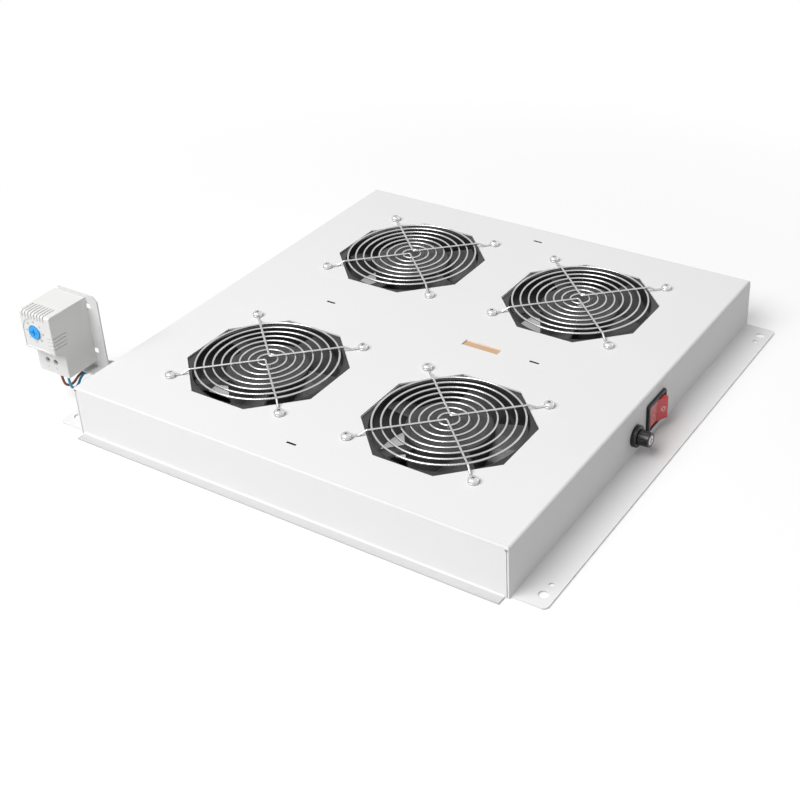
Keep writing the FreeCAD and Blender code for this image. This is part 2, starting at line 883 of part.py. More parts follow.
def make_fan_rotor(number, x, y):
    """Cup-shaped hub over the stator with pitched, twisted blades lofted from root to tip."""
    body = new_body("fan_rotor_%d" % number)
    prefix = "rotor%d_" % number
    hub = size("hub_radius")
    wall = size("hub_wall")
    hub_top = size("fan_depth") - size("hub_drop")
    hub_low = size("strut_height") + size("hub_gap")
    hub_height = hub_top - hub_low
    tip = size("fan_bore_radius") - size("blade_clearance")
    sketch = new_sketch(body, prefix + "hub_plan", "XY_Plane", hub_low)
    circle(sketch, 0, 0, hub)
    pad(body, prefix + "hub", sketch, hub_height)
    round_edges(body, prefix + "hub_rim", wall * 0.6, lambda e: near(edge_middle(e).z, hub_top))
    height = hub_height - size("blade_inset")
    middle_z = hub_low + hub_height / 2 - 1
    root = blade_outline(body, prefix + "blade_root", hub - wall * 2, size("blade_root_pitch"),
                         height, middle_z)
    end = blade_outline(body, prefix + "blade_tip", tip + wall * 2, size("blade_tip_pitch"),
                        height * 0.86, middle_z)
    blade = body.newObject("PartDesign::AdditiveLoft", prefix + "blade")
    blade.Profile = root
    blade.Sections = [(end, [""])]
    repeat_round(body, prefix + "blades", blade, size("blade_count"))
    sketch = new_sketch(body, prefix + "tip_plan", "XY_Plane", hub_low - 5)
    circle(sketch, 0, 0, tip)
    circle(sketch, 0, 0, tip * 2)
    pocket(body, prefix + "tips", sketch, size("fan_depth") * 2, reverse=True)
    sketch = new_sketch(body, prefix + "cup_plan", "XY_Plane", hub_low - 5)
    circle(sketch, 0, 0, hub - wall)
    pocket(body, prefix + "cup", sketch, hub_height - wall + 5, reverse=True)
    sketch = new_sketch(body, prefix + "boss_plan", "XY_Plane", hub_top - wall)
    circle(sketch, 0, 0, size("bearing_radius"))
    pad(body, prefix + "boss", sketch, size("boss_height"), reverse=True)
    sketch = new_sketch(body, prefix + "bore_plan", "XY_Plane", hub_low)
    circle(sketch, 0, 0, size("shaft_radius"))
    pocket(body, prefix + "bore", sketch, hub_height - size("shaft_drop"), reverse=True)
    sketch = new_sketch(body, prefix + "dimple_plan", "XY_Plane", hub_top)
    circle(sketch, 0, 0, size("shaft_radius") * 1.6)
    pocket(body, prefix + "dimple", sketch, size("shaft_drop"))
    place(body, x, y, fan_bottom)
    bind(body, "Placement.Rotation.Angle", size("rotor_phase") * number)
    return keep(body, "fan_rotor_%d" % number)


def make_fan_shaft(number, x, y):
    low = size("strut_height") / 2 + 0.5
    high = size("fan_depth") - size("hub_drop") - 0.8
    shaft = rod("shaft_%d" % number, size("shaft_radius"), high - low, x, y, fan_bottom + low)
    return keep(shaft, "fan_shaft_%d" % number)


def make_fan_bearings(number, x, y):
    """A ball bearing at each end of the tube, each with room for the running shaft."""
    length = size("bearing_length")
    tube_top = size("fan_depth") - size("hub_drop") - size("hub_wall") - 2
    rings = []
    for word, low in (("low", size("strut_height") / 2 + 0.2), ("high", tube_top - length)):
        name = "bearing_%d_%s" % (number, word)
        z = fan_bottom + low
        outer = rod(name + "_outer", size("bearing_radius"), length, x, y, z)
        bore = size("shaft_radius") + size("bearing_clearance")
        hole = rod(name + "_bore", bore, length, x, y, z)
        rings.append(cut(name, outer, hole))
    return keep(group("bearings_%d" % number, rings), "fan_bearings_%d" % number)


# ---------------------------------------------------------------- finger guards


def wire_ring(radius, x, y, z, wire, sides):
    """A ring of square wire in straight facets, whose middle line keeps this mean radius."""
    stretch = 2 / (1 + math.cos(math.pi / sides))
    shells = []
    for reach in ((radius + wire) * stretch, (radius - wire) * stretch):
        corners = []
        for i in range(sides + 1):
            turn = 2 * math.pi * i / sides
            corners.append(Vector(x + reach * math.cos(turn), y + reach * math.sin(turn), z - wire))
        shells.append(Part.Face(Part.makePolygon(corners)).extrude(Vector(0, 0, wire * 2)))
    return shells[0].cut(shells[1])


def wire_reach():
    """From the wire's middle to the corners of its section, whose flats are a wire apart."""
    return size("wire_radius").value / math.cos(math.pi / size("wire_sides").value)


def guard_spoke(side):
    """One bent wire: low end, step up, long arm, blunt bend near the middle, and back."""
    wire = size("wire_radius").value
    spoke_z = size("guard_lift").value + 2 * wire - size("weld_depth").value
    corner = screw_offset.value
    eyelet = size("eyelet_radius").value
    rim = size("ring_pitch").value * size("ring_count").value
    middle = (side * size("spoke_offset").value, 0, spoke_z)
    half = []
    for turn in (1, -1):
        arm = Vector(side, turn, 0).normalize()
        stop = Vector(side * corner, turn * corner, 0) - arm * eyelet
        foot = stop - arm * size("foot_length").value
        step = arm * (rim + size("spoke_overrun").value)
        half.append([(stop.x, stop.y, wire), (foot.x, foot.y, wire), (step.x, step.y, spoke_z)])
    path = half[0] + [middle] + half[1][::-1]
    bend = size("spoke_bend").value
    radii = [bend * 0.5, bend * 0.5, bend, bend * 0.5, bend * 0.5]
    return tube_along("guard spoke", path, wire_reach(), radii, int(size("wire_sides").value))


def guard_shape():
    """Welded wire guard: rings under two V-shaped spokes that end in eyelets on the plate."""
    wire = size("wire_radius").value
    corner = screw_offset.value
    sides = int(size("ring_sides").value)
    wires = []
    for i in range(int(size("ring_count").value)):
        radius = size("ring_pitch").value * (i + 1)
        wires.append(wire_ring(radius, 0, 0, size("guard_lift").value, wire, sides))
    sides = int(size("eyelet_sides").value)
    for side_x, side_y in QUADRANTS:
        x, y = side_x * corner, side_y * corner
        wires.append(wire_ring(size("eyelet_radius").value, x, y, wire, wire, sides))
    wires += [guard_spoke(1), guard_spoke(-1)]
    return wires[0].fuse(wires[1:])


def make_guards():
    welded = guard_shape()
    for number, (side_x, side_y) in enumerate(QUADRANTS, 1):
        guard = formed("guard_%d" % number, welded)
        place(guard, side_x * fan_x, side_y * fan_y, top)
        keep(guard, "finger_guard_%d" % number)


# ---------------------------------------------------------------- fasteners


def make_screw(name, x, y, z, along, radius, length, head_radius, head_height):
    """Pan-head screw whose head stands on the seat at x, y, z and whose shank runs along."""
    back = {"+": "-", "-": "+"}[along[0]] + along[1]
    away = -1 if along[0] == "+" else 1
    shank = rod(name + "_shank", radius, length, x, y, z, along, int(size("shank_sides").value))
    rim = head_height * size("head_rim_share")
    head = rod(name + "_head", head_radius, rim, x, y, z, back)
    crown = doc.addObject("Part::Cone", name + "_crown")
    bind(crown, "Radius1", head_radius)
    bind(crown, "Radius2", head_radius * size("crown_share"))
    bind(crown, "Height", head_height - rim)
    crown.Placement = Placement(Vector(), TURNS[back])
    seat = {"X": as_size(x), "Y": as_size(y), "Z": as_size(z)}
    seat[along[1]] = seat[along[1]] + rim * away
    place(crown, seat["X"], seat["Y"], seat["Z"])
    return fuse(name, [shank, head, crown])


def make_nut(name, x, y, z, along, across, height, bore, sides=0):
    outer = rod(name + "_blank", as_size(across) / 2 / HEXAGON, height, x, y, z, along, sides=6)
    hole = rod(name + "_bore", bore, height, x, y, z, along, sides)
    return cut(name, outer, hole)


def fan_screw_places():
    for side_x, side_y in QUADRANTS:
        for corner_x, corner_y in QUADRANTS:
            yield side_x * fan_x + corner_x * screw_offset, side_y * fan_y + corner_y * screw_offset


def make_fan_fasteners():
    seat = top + size("wire_radius") * 2
    screws = []
    nuts = []
    head = (size("screw_head_radius"), size("screw_head_height"))
    for i, (x, y) in enumerate(fan_screw_places()):
        name = "guard_screw_%d" % i
        screw = make_screw(name, x, y, seat, "-Z", size("screw_radius"), size("screw_length"), *head)
        screws.append(screw)
        z = under_top - size("fan_flange")
        across = size("nut_across")
        nuts.append(make_nut("guard_nut_%d" % i, x, y, z, "-Z", across, size("nut_height"),
                             size("screw_radius"), int(size("shank_sides").value)))
    keep(group("guard_screw_set", screws), "guard_screws")
    return nuts


# ---------------------------------------------------------------- terminal board

board_x = size("board_x") / 2
board_front = -size("window_middle") - size("window_y") / 2 + size("board_end_gap")
board_middle = board_front + size("board_y") / 2
board_under = under_top - size("board_thickness")
wire_level = size("block_height") * 0.42


def pole_places():
    """The terminal block's poles along X, from its left end."""
    poles = int(size("block_poles").value)
    for i in range(poles):
        yield size("block_pole_pitch") * (i - (poles - 1) / 2)


def make_terminal_board():
    body = new_body("terminal_board")
    sketch = new_sketch(body, "board_plan", "XY_Plane", board_under)
    rectangle(sketch, -board_x, board_x, board_front, board_front + size("board_y"))
    for side in (1, -1):
        circle(sketch, side * size("stud_spread"), board_middle, size("stud_radius") + 0.2)
    pad(body, "board_plate", sketch, size("board_thickness"))
    return keep(body, "terminal_board")


def make_terminal_block():
    """Moulded strip under the board: wires enter along Y, clamp screws sit in deep wells."""
    body = new_body("terminal_block")
    half_x = size("block_pole_pitch") * size("block_poles") / 2
    half_y = size("block_y") / 2
    height = size("block_height")
    shoulder = height * 0.65
    sketch = new_sketch(body, "block_section", "YZ_Plane", -half_x)
    right = [(half_y, 0), (half_y, -shoulder), (half_y * 0.68, -height)]
    left = [(-y, z) for y, z in right[::-1]]
    outline(sketch, right + left)
    pad(body, "block_strip", sketch, half_x * 2)
    sketch = new_sketch(body, "wire_holes_section", "XZ_Plane", half_y + 1)
    reach = size("block_wire_radius")
    for x in pole_places():
        rectangle(sketch, x - reach, x + reach, -wire_level - reach, -wire_level + reach)
    pocket(body, "wire_holes", sketch)
    sketch = new_sketch(body, "wells_plan", "XY_Plane", -height - 1)
    reach = size("block_well_radius")
    for x in pole_places():
        for side in (1, -1):
            y = side * half_y * 0.45
            rectangle(sketch, x - reach, x + reach, y - reach, y + reach)
    pocket(body, "wells", sketch, height + 1 - wire_level, reverse=True)
    sketch = new_sketch(body, "barrier_section", "XZ_Plane", half_y + 1)
    for x in list(pole_places())[:-1]:
        middle = x + size("block_pole_pitch") / 2
        rectangle(sketch, middle - 0.4, middle + 0.4, -height - 1, -height + 2.5)
    pocket(body, "barrier_grooves", sketch)
    place(body, 0, board_middle, board_under)
    return keep(body, "terminal_block")


def make_clamp_screws():
    screws = []
    reach = size("block_height") - wire_level - size("block_wire_radius") - 1
    for i, x in enumerate(pole_places()):
        for side in (1, -1):
            name = "clamp_screw_%d%s" % (i, "rear" if side > 0 else "front")
            y = board_middle + side * size("block_y") / 2 * 0.45
            z = board_under - size("block_height") + 1
            radius = size("clamp_screw_radius")
            blank = rod(name + "_blank", radius, reach, x, y, z)
            slot = box(name + "_slot", x - radius * 2, x + radius * 2, y - 0.3, y + 0.3,
                       z - 1, z + 0.8)
            screws.append(cut(name, blank, slot))
    keep(group("clamp_screw_set", screws), "terminal_clamp_screws")


def make_studs():
    studs = []
    nuts = []
    radius = size("stud_radius")
    for i, side in enumerate((1, -1)):
        x = side * size("stud_spread")
        name = "board_stud_%d" % i
        studs.append(rod(name, radius, size("stud_length"), x, board_middle, under_top, "-Z"))
        nuts.append(make_nut("board_nut_%d" % i, x, board_middle, board_under, "-Z",
                             size("stud_nut_across"), size("stud_nut_height"), radius))
    earth = (-size("earth_x"), -size("earth_y"))
    studs.append(rod("earth_stud", size("screw_radius"), size("earth_length"), *earth,
                     under_top, "-Z"))
    keep(group("stud_set", studs), "weld_studs")
    keep(group("board_nut_set", nuts), "board_nuts")
    return [make_nut("earth_nut", *earth, under_top, "-Z", size("nut_across"),
                     size("nut_height"), size("screw_radius"))]


def make_fan_terminals():
    """Two flat tabs on a moulded foot, in the recess of each frame's inner side."""
    feet = []
    outer = size("fan_size") / 2 - 1
    near_y = size("fan_terminal_middle") - size("fan_terminal_width") / 2
    low = fan_bottom + size("fan_flange") + 3
    high = low + size("fan_terminal_width") * 0.8
    for i, (side_x, side_y) in enumerate(QUADRANTS):
        name = "fan_terminal_%d" % i
        x0, y0 = side_x * fan_x, side_y * fan_y
        a, b = x0 - side_x * outer, x0 - side_x * (outer - size("fan_terminal_width") * 0.75)
        c, d = y0 - side_y * near_y, y0 - side_y * (near_y + size("fan_terminal_width"))
        block = span_box(name + "_block", a, b, c, d, low, high)
        barrel = rod(name + "_barrel", size("fan_relief_radius"), size("fan_depth"), x0, y0,
                     fan_bottom)
        foot = cut(name + "_foot", block, barrel)
        pieces = [foot]
        for j, share in enumerate((0.25, 0.75)):
            y = c + (d - c) * share
            tip = a - side_x * size("fan_tab_length")
            middle = (low + high) / 2
            half = size("fan_tab_width") / 2
            pieces.append(span_box("%s_tab_%d" % (name, j), a, tip, y - 0.25, y + 0.25,
                                   middle - half, middle + half))
        feet.append(fuse(name, pieces))
    keep(group("fan_terminal_set", feet), "fan_terminals")


def span_box(name, x0, x1, y0, y1, z0, z1):
    """A box between two corners given in either order."""
    spans = []
    for a, b in ((x0, x1), (y0, y1), (z0, z1)):
        a, b = as_size(a), as_size(b)
        spans += [a, b] if a.value < b.value else [b, a]
    return box(name, *spans)


# ---------------------------------------------------------------- rocker switch


def make_switch_housing():
    """Snap-in frame: bezel outside the wall, body and spring latches behind it."""
    body = new_body("switch_housing")
    half_x = size("switch_body_x") / 2
    half_z = size("switch_body_z") / 2
    bezel_x = size("bezel_x") / 2
    bezel_z = size("bezel_z") / 2
    depth = size("switch_body_depth")
    bezel = size("bezel_depth")
    sketch = new_sketch(body, "switch_body_section", "XZ_Plane")
    rectangle(sketch, -half_x, half_x, -half_z, half_z)
    pad(body, "switch_body", sketch, depth, reverse=True)
    sketch = new_sketch(body, "bezel_section", "XZ_Plane")
    rectangle(sketch, -bezel_x, bezel_x, -bezel_z, bezel_z)
    pad(body, "bezel", sketch, bezel)

    def is_bezel_corner(edge):
        middle = edge_middle(edge)
        return is_along(edge, Y_AXIS) and near(abs(middle.x), bezel_x)

    round_edges(body, "bezel_corners", bezel * 0.8, is_bezel_corner)
    round_edges(body, "bezel_rim", bezel * 0.35, lambda e: near(edge_middle(e).y, -bezel))
    opening_x = size("rocker_opening_x") / 2
    opening_z = size("rocker_z") / 2 + size("rocker_clearance")
    sketch = new_sketch(body, "opening_section", "XZ_Plane", bezel)
    rectangle(sketch, -opening_x, opening_x, -opening_z, opening_z)
    pocket(body, "opening", sketch, bezel + size("switch_well_depth"))
    sketch = new_sketch(body, "pivot_section", "XY_Plane", half_z + 1)
    pivot_y = size("rocker_pivot_depth") - bezel
    circle(sketch, 0, pivot_y, size("pivot_pin_radius") + size("pivot_clearance"))
    pocket(body, "pivot_holes", sketch)
    sketch = new_sketch(body, "latch_plan", "XY_Plane", -half_z / 3)
    for side in (1, -1):
        start = sheet_t + size("cutout_clearance")
        low, high = start, start + size("latch_length")
        proud = half_x + size("latch_depth")
        base = half_x - 0.5
        points = [(base, low), (proud, low), (base, high)]
        outline(sketch, [(side * as_size(x), y) for x, y in points])
    pad(body, "latches", sketch, half_z * 2 / 3)
    place(body, size("switch_x"), front_wall, size("switch_z"))
    return keep(body, "switch_housing")


def make_rocker():
    """Two shallow facets over a waisted body that turns on moulded pins."""
    body = new_body("switch_rocker")
    half = size("rocker_half")
    waist = size("rocker_waist")
    crest = waist + half * sine(size("rocker_facet_angle")) / cosine(size("rocker_facet_angle"))
    half_z = size("rocker_z") / 2
    sketch = new_sketch(body, "rocker_section", "XY_Plane", -half_z)
    skirt = half * 0.67
    right = [(0, -waist), (half, -crest), (half * 0.93, -2), (skirt, 3)]
    left = [(-as_size(x), y) for x, y in right[:0:-1]]
    outline(sketch, right + left)
    pad(body, "rocker_block", sketch, size("rocker_z"))

    def is_rim(edge):
        return near(edge_middle(edge).y, -crest)

    round_edges(body, "rocker_rims", size("rocker_round"), is_rim)
    sketch = new_sketch(body, "rocker_hollow_section", "XZ_Plane", -3)
    rectangle(sketch, -skirt + 1.8, skirt - 1.8, -half_z + 2, half_z - 2)
    pocket(body, "rocker_hollow", sketch, waist, reverse=True)
    sketch = new_sketch(body, "pin_section", "XY_Plane", half_z)
    circle(sketch, 0, 0, size("pivot_pin_radius"))
    pad(body, "upper_pin", sketch, size("pivot_pin_length"))
    sketch = new_sketch(body, "lower_pin_section", "XY_Plane", -half_z)
    circle(sketch, 0, 0, size("pivot_pin_radius"))
    pad(body, "lower_pin", sketch, size("pivot_pin_length"), reverse=True)
    place(body, size("switch_x"), rocker_pivot_y, size("switch_z"))
    bind(body, "Placement.Rotation.Angle", -size("rocker_tilt"))
    return keep(body, "switch_rocker")


def make_switch_terminals():
    """Four flat tabs on the back of the switch."""
    tabs = []
    rear = front_wall + size("switch_body_depth")
    half = size("tab_width") / 2
    for i, (side_x, side_z) in enumerate(QUADRANTS):
        x = size("switch_x") + side_x * size("switch_body_x") * 0.25
        z = size("switch_z") + side_z * size("switch_body_z") * 0.25
        tabs.append(box("switch_tab_%d" % i, x - half, x + half, rear, rear + size("tab_length"),
                        z - 0.4, z + 0.4))
    keep(group("switch_tab_set", tabs), "switch_terminals")


def make_switch_lamp():
    """Small neon bulb that stands on the floor of the switch well and lights the rocker."""
    foot_y = front_wall + size("switch_well_depth")
    length = size("lamp_length")
    bulb = rod("lamp_bulb", size("lamp_radius"), length, size("switch_x"), foot_y,
               size("switch_z"), "-Y")
    doc.recompute()
    lamp = doc.addObject("Part::Fillet", "lamp_glass")
    lamp.Base = bulb
    tip_y = (foot_y - length).value
    edges = []
    for number, edge in enumerate(bulb.Shape.Edges, 1):
        if isinstance(edge.Curve, Part.Circle) and abs(edge.Curve.Center.y - tip_y) < NEAR:
            reach = size("lamp_radius").value * 0.9
            edges.append((number, reach, reach))
    lamp.Edges = edges
    return keep(lamp, "switch_lamp")


rocker_pivot_y = front_wall - size("bezel_depth") + size("rocker_pivot_depth")


# ---------------------------------------------------------------- fuse holder


def make_fuse_holder():
    """Panel holder: round flange outside the wall, long bored barrel behind it."""
    body = new_body("fuse_holder_body")
    flange = size("fuse_flange_radius")
    depth = size("fuse_flange_depth")
    barrel = size("fuse_barrel_radius")
    length = size("fuse_barrel_length")
    bore = size("fuse_bore_radius")
    end = size("fuse_end_wall")
    sketch = new_sketch(body, "holder_section", "YZ_Plane")
    points = [(-depth, bore), (-depth, flange - 0.8), (-depth + 0.8, flange), (0, flange)]
    points += [(0, barrel), (length - 1, barrel), (length, barrel - 1), (length, 0)]
    points += [(length - end, 0), (length - end, bore)]
    outline(sketch, points)
    revolve(body, "holder_barrel", sketch, "Y_Axis")
    place(body, -size("fuse_x"), front_wall, size("fuse_z"))
    return keep(body, "fuse_holder_body")


def make_fuse_nut():
    nut = make_nut("fuse_nut_solid", -size("fuse_x"), front_wall + sheet_t, size("fuse_z"), "+Y",
                   size("fuse_nut_across"), size("fuse_nut_height"),
                   size("fuse_barrel_radius") + 0.05)
    return keep(nut, "fuse_holder_nut")


def make_fuse_tags():
    """Solder tags on the rear end of the holder: the end contact and the side contact."""
    tags = []
    rear = front_wall + size("fuse_barrel_length")
    half = size("fuse_tag_width") / 2
    for i, side in enumerate((1, -1)):
        x = -size("fuse_x") + side * size("fuse_barrel_radius") / 2
        tags.append(box("fuse_tag_%d" % i, x - 0.3, x + 0.3, rear, rear + size("tab_length"),
                        size("fuse_z") - half, size("fuse_z") + half))
    keep(group("fuse_tag_set", tags), "fuse_holder_tags")


def make_fuse_carrier():
    """Tube that holds the fuse from behind and takes the cap's spigot at its front end."""
    body = new_body("fuse_carrier")
    outer = size("fuse_carrier_radius")
    seat = size("fuse_radius") + size("fuse_seat_clearance")
    front = -size("fuse_flange_depth")
    length = size("fuse_carrier_length")
    fuse_front = front + length - size("fuse_grip")
    socket = size("spigot_radius") + size("spigot_clearance")
    socket_end = front + size("spigot_length") + size("spigot_gap") * 2
    sketch = new_sketch(body, "carrier_section", "YZ_Plane")
    points = [(front, socket), (front, outer), (front + length, outer), (front + length, seat)]
    points += [(fuse_front, seat), (fuse_front, 0), (socket_end, 0), (socket_end, socket)]
    outline(sketch, points)
    revolve(body, "carrier_tube", sketch, "Y_Axis")
    place(body, -size("fuse_x"), front_wall, size("fuse_z"))
    return keep(body, "fuse_carrier")


def make_fuse_link():
    """Glass fuse with a metal cap at each end."""
    body = new_body("fuse_link")
    radius = size("fuse_radius")
    length = size("fuse_length")
    cap = length / 4
    glass = radius - 0.15
    front = size("fuse_carrier_length") - size("fuse_flange_depth") - size("fuse_grip")
    sketch = new_sketch(body, "fuse_section", "YZ_Plane")
    points = [(0, 0), (0, radius), (cap, radius), (cap, glass), (length - cap, glass)]
    points += [(length - cap, radius), (length, radius), (length, 0)]
    outline(sketch, [(front + y, r) for y, r in points])
    revolve(body, "fuse_tube", sketch, "Y_Axis")
    place(body, -size("fuse_x"), front_wall, size("fuse_z"))
    return keep(body, "fuse_link")


def make_fuse_cap():
    """Fluted, slightly tapered knob with a recess for its slotted insert and a spigot behind."""
    body = new_body("fuse_cap")
    radius = size("fuse_cap_radius")
    length = size("fuse_cap_length")
    back = -size("fuse_flange_depth") - size("spigot_gap")
    front = back - length
    insert = size("insert_radius")
    spigot = size("spigot_radius")
    sketch = new_sketch(body, "cap_section", "YZ_Plane")
    points = [(back, radius), (back, spigot), (back + size("spigot_length"), spigot)]
    points += [(back + size("spigot_length"), 0), (front + size("insert_depth"), 0)]
    points += [(front + size("insert_depth"), insert), (front, insert)]
    points += [(front, radius * 0.9), (front + 0.6, radius * 0.95)]
    outline(sketch, points)
    revolve(body, "cap_knob", sketch, "Y_Axis")
    sketch = new_sketch(body, "flute_section", "XZ_Plane", -back)
    circle(sketch, 0, radius + size("flute_radius") * 0.55, size("flute_radius"))
    flute = body.newObject("PartDesign::Pocket", "flute")
    flute.Profile = sketch
    flute.Reversed = True
    bind(flute, "Length", length - 1.2)
    ring = body.newObject("PartDesign::PolarPattern", "flutes")
    ring.Originals = [flute]
    ring.Axis = (origin_part(body, "Y_Axis"), [""])
    ring.Angle = 360
    bind(ring, "Occurrences", size("flute_count"))
    body.Tip = ring
    place(body, -size("fuse_x"), front_wall, size("fuse_z"))
    return keep(body, "fuse_cap")


def make_cap_insert():
    """Plated disc with a crossed slot, pressed in the end of the cap."""
    front = front_wall - size("fuse_flange_depth") - size("spigot_gap") - size("fuse_cap_length")
    depth = size("insert_depth")
    radius = size("insert_radius") - 0.02
    x, z = -size("fuse_x"), size("fuse_z")
    disc = rod("insert_disc", radius, depth, x, front + depth, z, "-Y")
    half = size("insert_slot_width") / 2
    reach = radius * 0.8
    level = box("insert_slot_level", x - reach, x + reach, front - 1, front + depth * 0.6,
                z - half, z + half)
    upright = box("insert_slot_upright", x - half, x + half, front - 1, front + depth * 0.6,
                  z - reach, z + reach)
    slots = fuse("insert_slots", [level, upright])
    return keep(cut("insert_solid", disc, slots), "fuse_cap_insert")


# ---------------------------------------------------------------- thermostat

stat_back = -size("stat_back")
stat_side = side_wall + size("stat_gap")
stat_front = -size("stat_x")
stat_low_front = stat_front + size("stat_step")
stat_split = -size("stat_split")
stat_wall = size("stat_wall")
stat_width = size("stat_y")
stat_height = size("stat_z")


def place_on_rail(item):
    place(item, stat_back, stat_side, size("stat_bottom"))


def wire_exit_places():
    """Where the two wires leave the thermostat's underside, from its own back corner."""
    x = stat_low_front + stat_wall + size("wire_exit_inset")
    return ((x, size("brown_side")), (x, size("blue_side")))


def make_thermostat_case():
    """Rear half of the housing, open at the front, with two rail feet that grip the web."""
    body = new_body("thermostat_case")
    sketch = new_sketch(body, "case_plan", "XY_Plane")
    rectangle(sketch, stat_split, 0, 0, stat_width)
    pad(body, "case_block", sketch, stat_height)

    def is_back_corner(edge):
        middle = edge_middle(edge)
        return near(middle.x, 0) and near(middle.z, stat_height)

    round_edges(body, "case_back_edge", 1, is_back_corner)
    sketch = new_sketch(body, "case_hollow_section", "YZ_Plane", stat_split)
    rectangle(sketch, stat_wall, stat_width - stat_wall, stat_wall, stat_height - stat_wall)
    pocket(body, "case_hollow", sketch, size("stat_split") - stat_wall, reverse=True)
    sketch = new_sketch(body, "case_rib_plan", "XY_Plane", stat_height)
    rib = size("stat_rib")
    count = int(size("stat_ribs").value)
    pitch = (stat_width - 4) / count
    for i in range(count):
        y = pitch * (i + 0.5) + 2
        rectangle(sketch, -rib * 2.5, -1.2, y - rib, y + rib)
    pocket(body, "case_rib_gaps", sketch, size("stat_rib_depth"))
    middle = size("rail_middle") - size("stat_bottom")
    half_web = size("rail_web") / 2
    thickness = size("bracket_thickness")
    for word, side in (("upper", 1), ("lower", -1)):
        sketch = new_sketch(body, word + "_foot_section", "XZ_Plane", -stat_width / 4)
        edge = middle + side * (half_web + size("foot_clearance"))
        hook = thickness + size("foot_clearance")
        inner = middle + side * (half_web - size("foot_grip"))
        far = edge + side * size("foot_height")
        points = [(-0.5, edge), (hook, edge), (hook, inner), (hook + 1, inner)]
        points += [(hook + 1.2, far), (-0.5, far)]
        outline(sketch, points)
        pad(body, word + "_rail_foot", sketch, stat_width / 2, reverse=True)
    place_on_rail(body)
    return keep(body, "thermostat_case")


def cover_profile(inset):
    """The stepped front seen from the side; the inset makes the inner one."""
    back = stat_split if inset == 0 else stat_split + 1
    low = stat_low_front + inset
    high = stat_front + inset
    step = size("stat_step_height") + as_size(inset) * 0.3
    slope = step + size("stat_slope_height")
    top_z = stat_height - inset
    return [(back, inset), (low, inset), (low, step), (high, slope), (high, top_z), (back, top_z)]


def make_thermostat_cover():
    body = new_body("thermostat_cover")
    sketch = new_sketch(body, "cover_section", "XZ_Plane")
    outline(sketch, cover_profile(0))
    pad(body, "cover_block", sketch, stat_width, reverse=True)

    def is_soft(edge):
        middle = edge_middle(edge)
        top_front = near(middle.x, stat_front) and near(middle.z, stat_height)
        step_top = near(middle.z, size("stat_step_height") + size("stat_slope_height"))
        step_low = near(middle.z, size("stat_step_height"))
        return is_along(edge, Y_AXIS) and (top_front or step_top or step_low)

    round_edges(body, "cover_soft_edges", size("stat_soft_radius"), is_soft)

    def is_front_side(edge):
        middle = edge_middle(edge)
        at_side = near(middle.y, 0) or near(middle.y, stat_width)
        return at_side and middle.x < stat_split.value - 1 and middle.z > 1

    round_edges(body, "cover_side_edges", size("stat_edge_radius"), is_front_side)
    sketch = new_sketch(body, "cover_hollow_section", "XZ_Plane", -stat_wall)
    outline(sketch, cover_profile(stat_wall))
    pocket(body, "cover_hollow", sketch, stat_width - stat_wall * 2)
    cut_dial_panel(body)
    cut_cover_slits(body)
    cut_cover_holes(body)
    place_on_rail(body)
    return keep(body, "thermostat_cover")


def cut_dial_panel(body):
    """Arched, slightly sunk panel round the dial, with the dial's round seat in it."""
    y, z = size("dial_side"), size("dial_height")
    arch = size("dial_arch_radius")
    panel = size("panel_depth")
    foot = size("stat_step_height") + size("stat_slope_height") + 1.5
    sketch = new_sketch(body, "panel_section", "YZ_Plane", stat_front - 1)
    rectangle(sketch, y - arch, y + arch, foot, z)
    pocket(body, "square_panel", sketch, panel + 1, reverse=True)
    sketch = new_sketch(body, "arch_section", "YZ_Plane", stat_front - 1)
    circle(sketch, y, z, arch)
    pocket(body, "arch_panel", sketch, panel + 1, reverse=True)
    sketch = new_sketch(body, "dial_seat_section", "YZ_Plane", stat_front - 1)
    circle(sketch, y, z, size("dial_radius") + size("dial_clearance"))
    pocket(body, "dial_seat", sketch, stat_wall + 2, reverse=True)


def cut_cover_slits(body):
    """Eight grooves wrap over the top front edge and four wrap round the side edge."""
    depth = size("slit_depth")
    width = size("slit_width")
    first = size("slit_first")
    sketch = new_sketch(body, "top_slit_section", "XZ_Plane", -(first - width / 2))
    low = stat_height - size("slit_drop")
    inner_x = stat_front + depth
    inner_z = stat_height - depth
    end = stat_front + size("slit_run")
    points = [(stat_front - 1, low), (inner_x, low), (inner_x, inner_z), (end, inner_z)]
    points += [(end, stat_height + 1), (stat_front - 1, stat_height + 1)]
    outline(sketch, points)
    slit = pocket(body, "top_slit", sketch, width)
    count = size("slit_count")
    repeat_along(body, "top_slits", slit, "Y_Axis", size("slit_pitch") * (count - 1), count)
    sketch = new_sketch(body, "side_groove_plan", "XY_Plane", size("groove_first"))
    groove = size("groove_depth")
    reach = size("dial_side") - size("dial_arch_radius") + 0.2
    end = stat_split - 1
    points = [(stat_front - 1, reach), (stat_front + groove, reach)]
    points += [(stat_front + groove, groove), (end, groove), (end, -1), (stat_front - 1, -1)]
    outline(sketch, points)
    far_reach = size("dial_side") + size("dial_arch_radius") - 0.2
    far = stat_width - groove
    points = [(stat_front - 1, far_reach), (stat_front + groove, far_reach)]
    points += [(stat_front + groove, far), (end, far), (end, stat_width + 1)]
    points += [(stat_front - 1, stat_width + 1)]
    outline(sketch, points[::-1])
    line = pocket(body, "side_groove", sketch, size("groove_width"), reverse=True)
    repeat_along(body, "side_grooves", line, "Z_Axis", size("groove_pitch") * 3, 4)


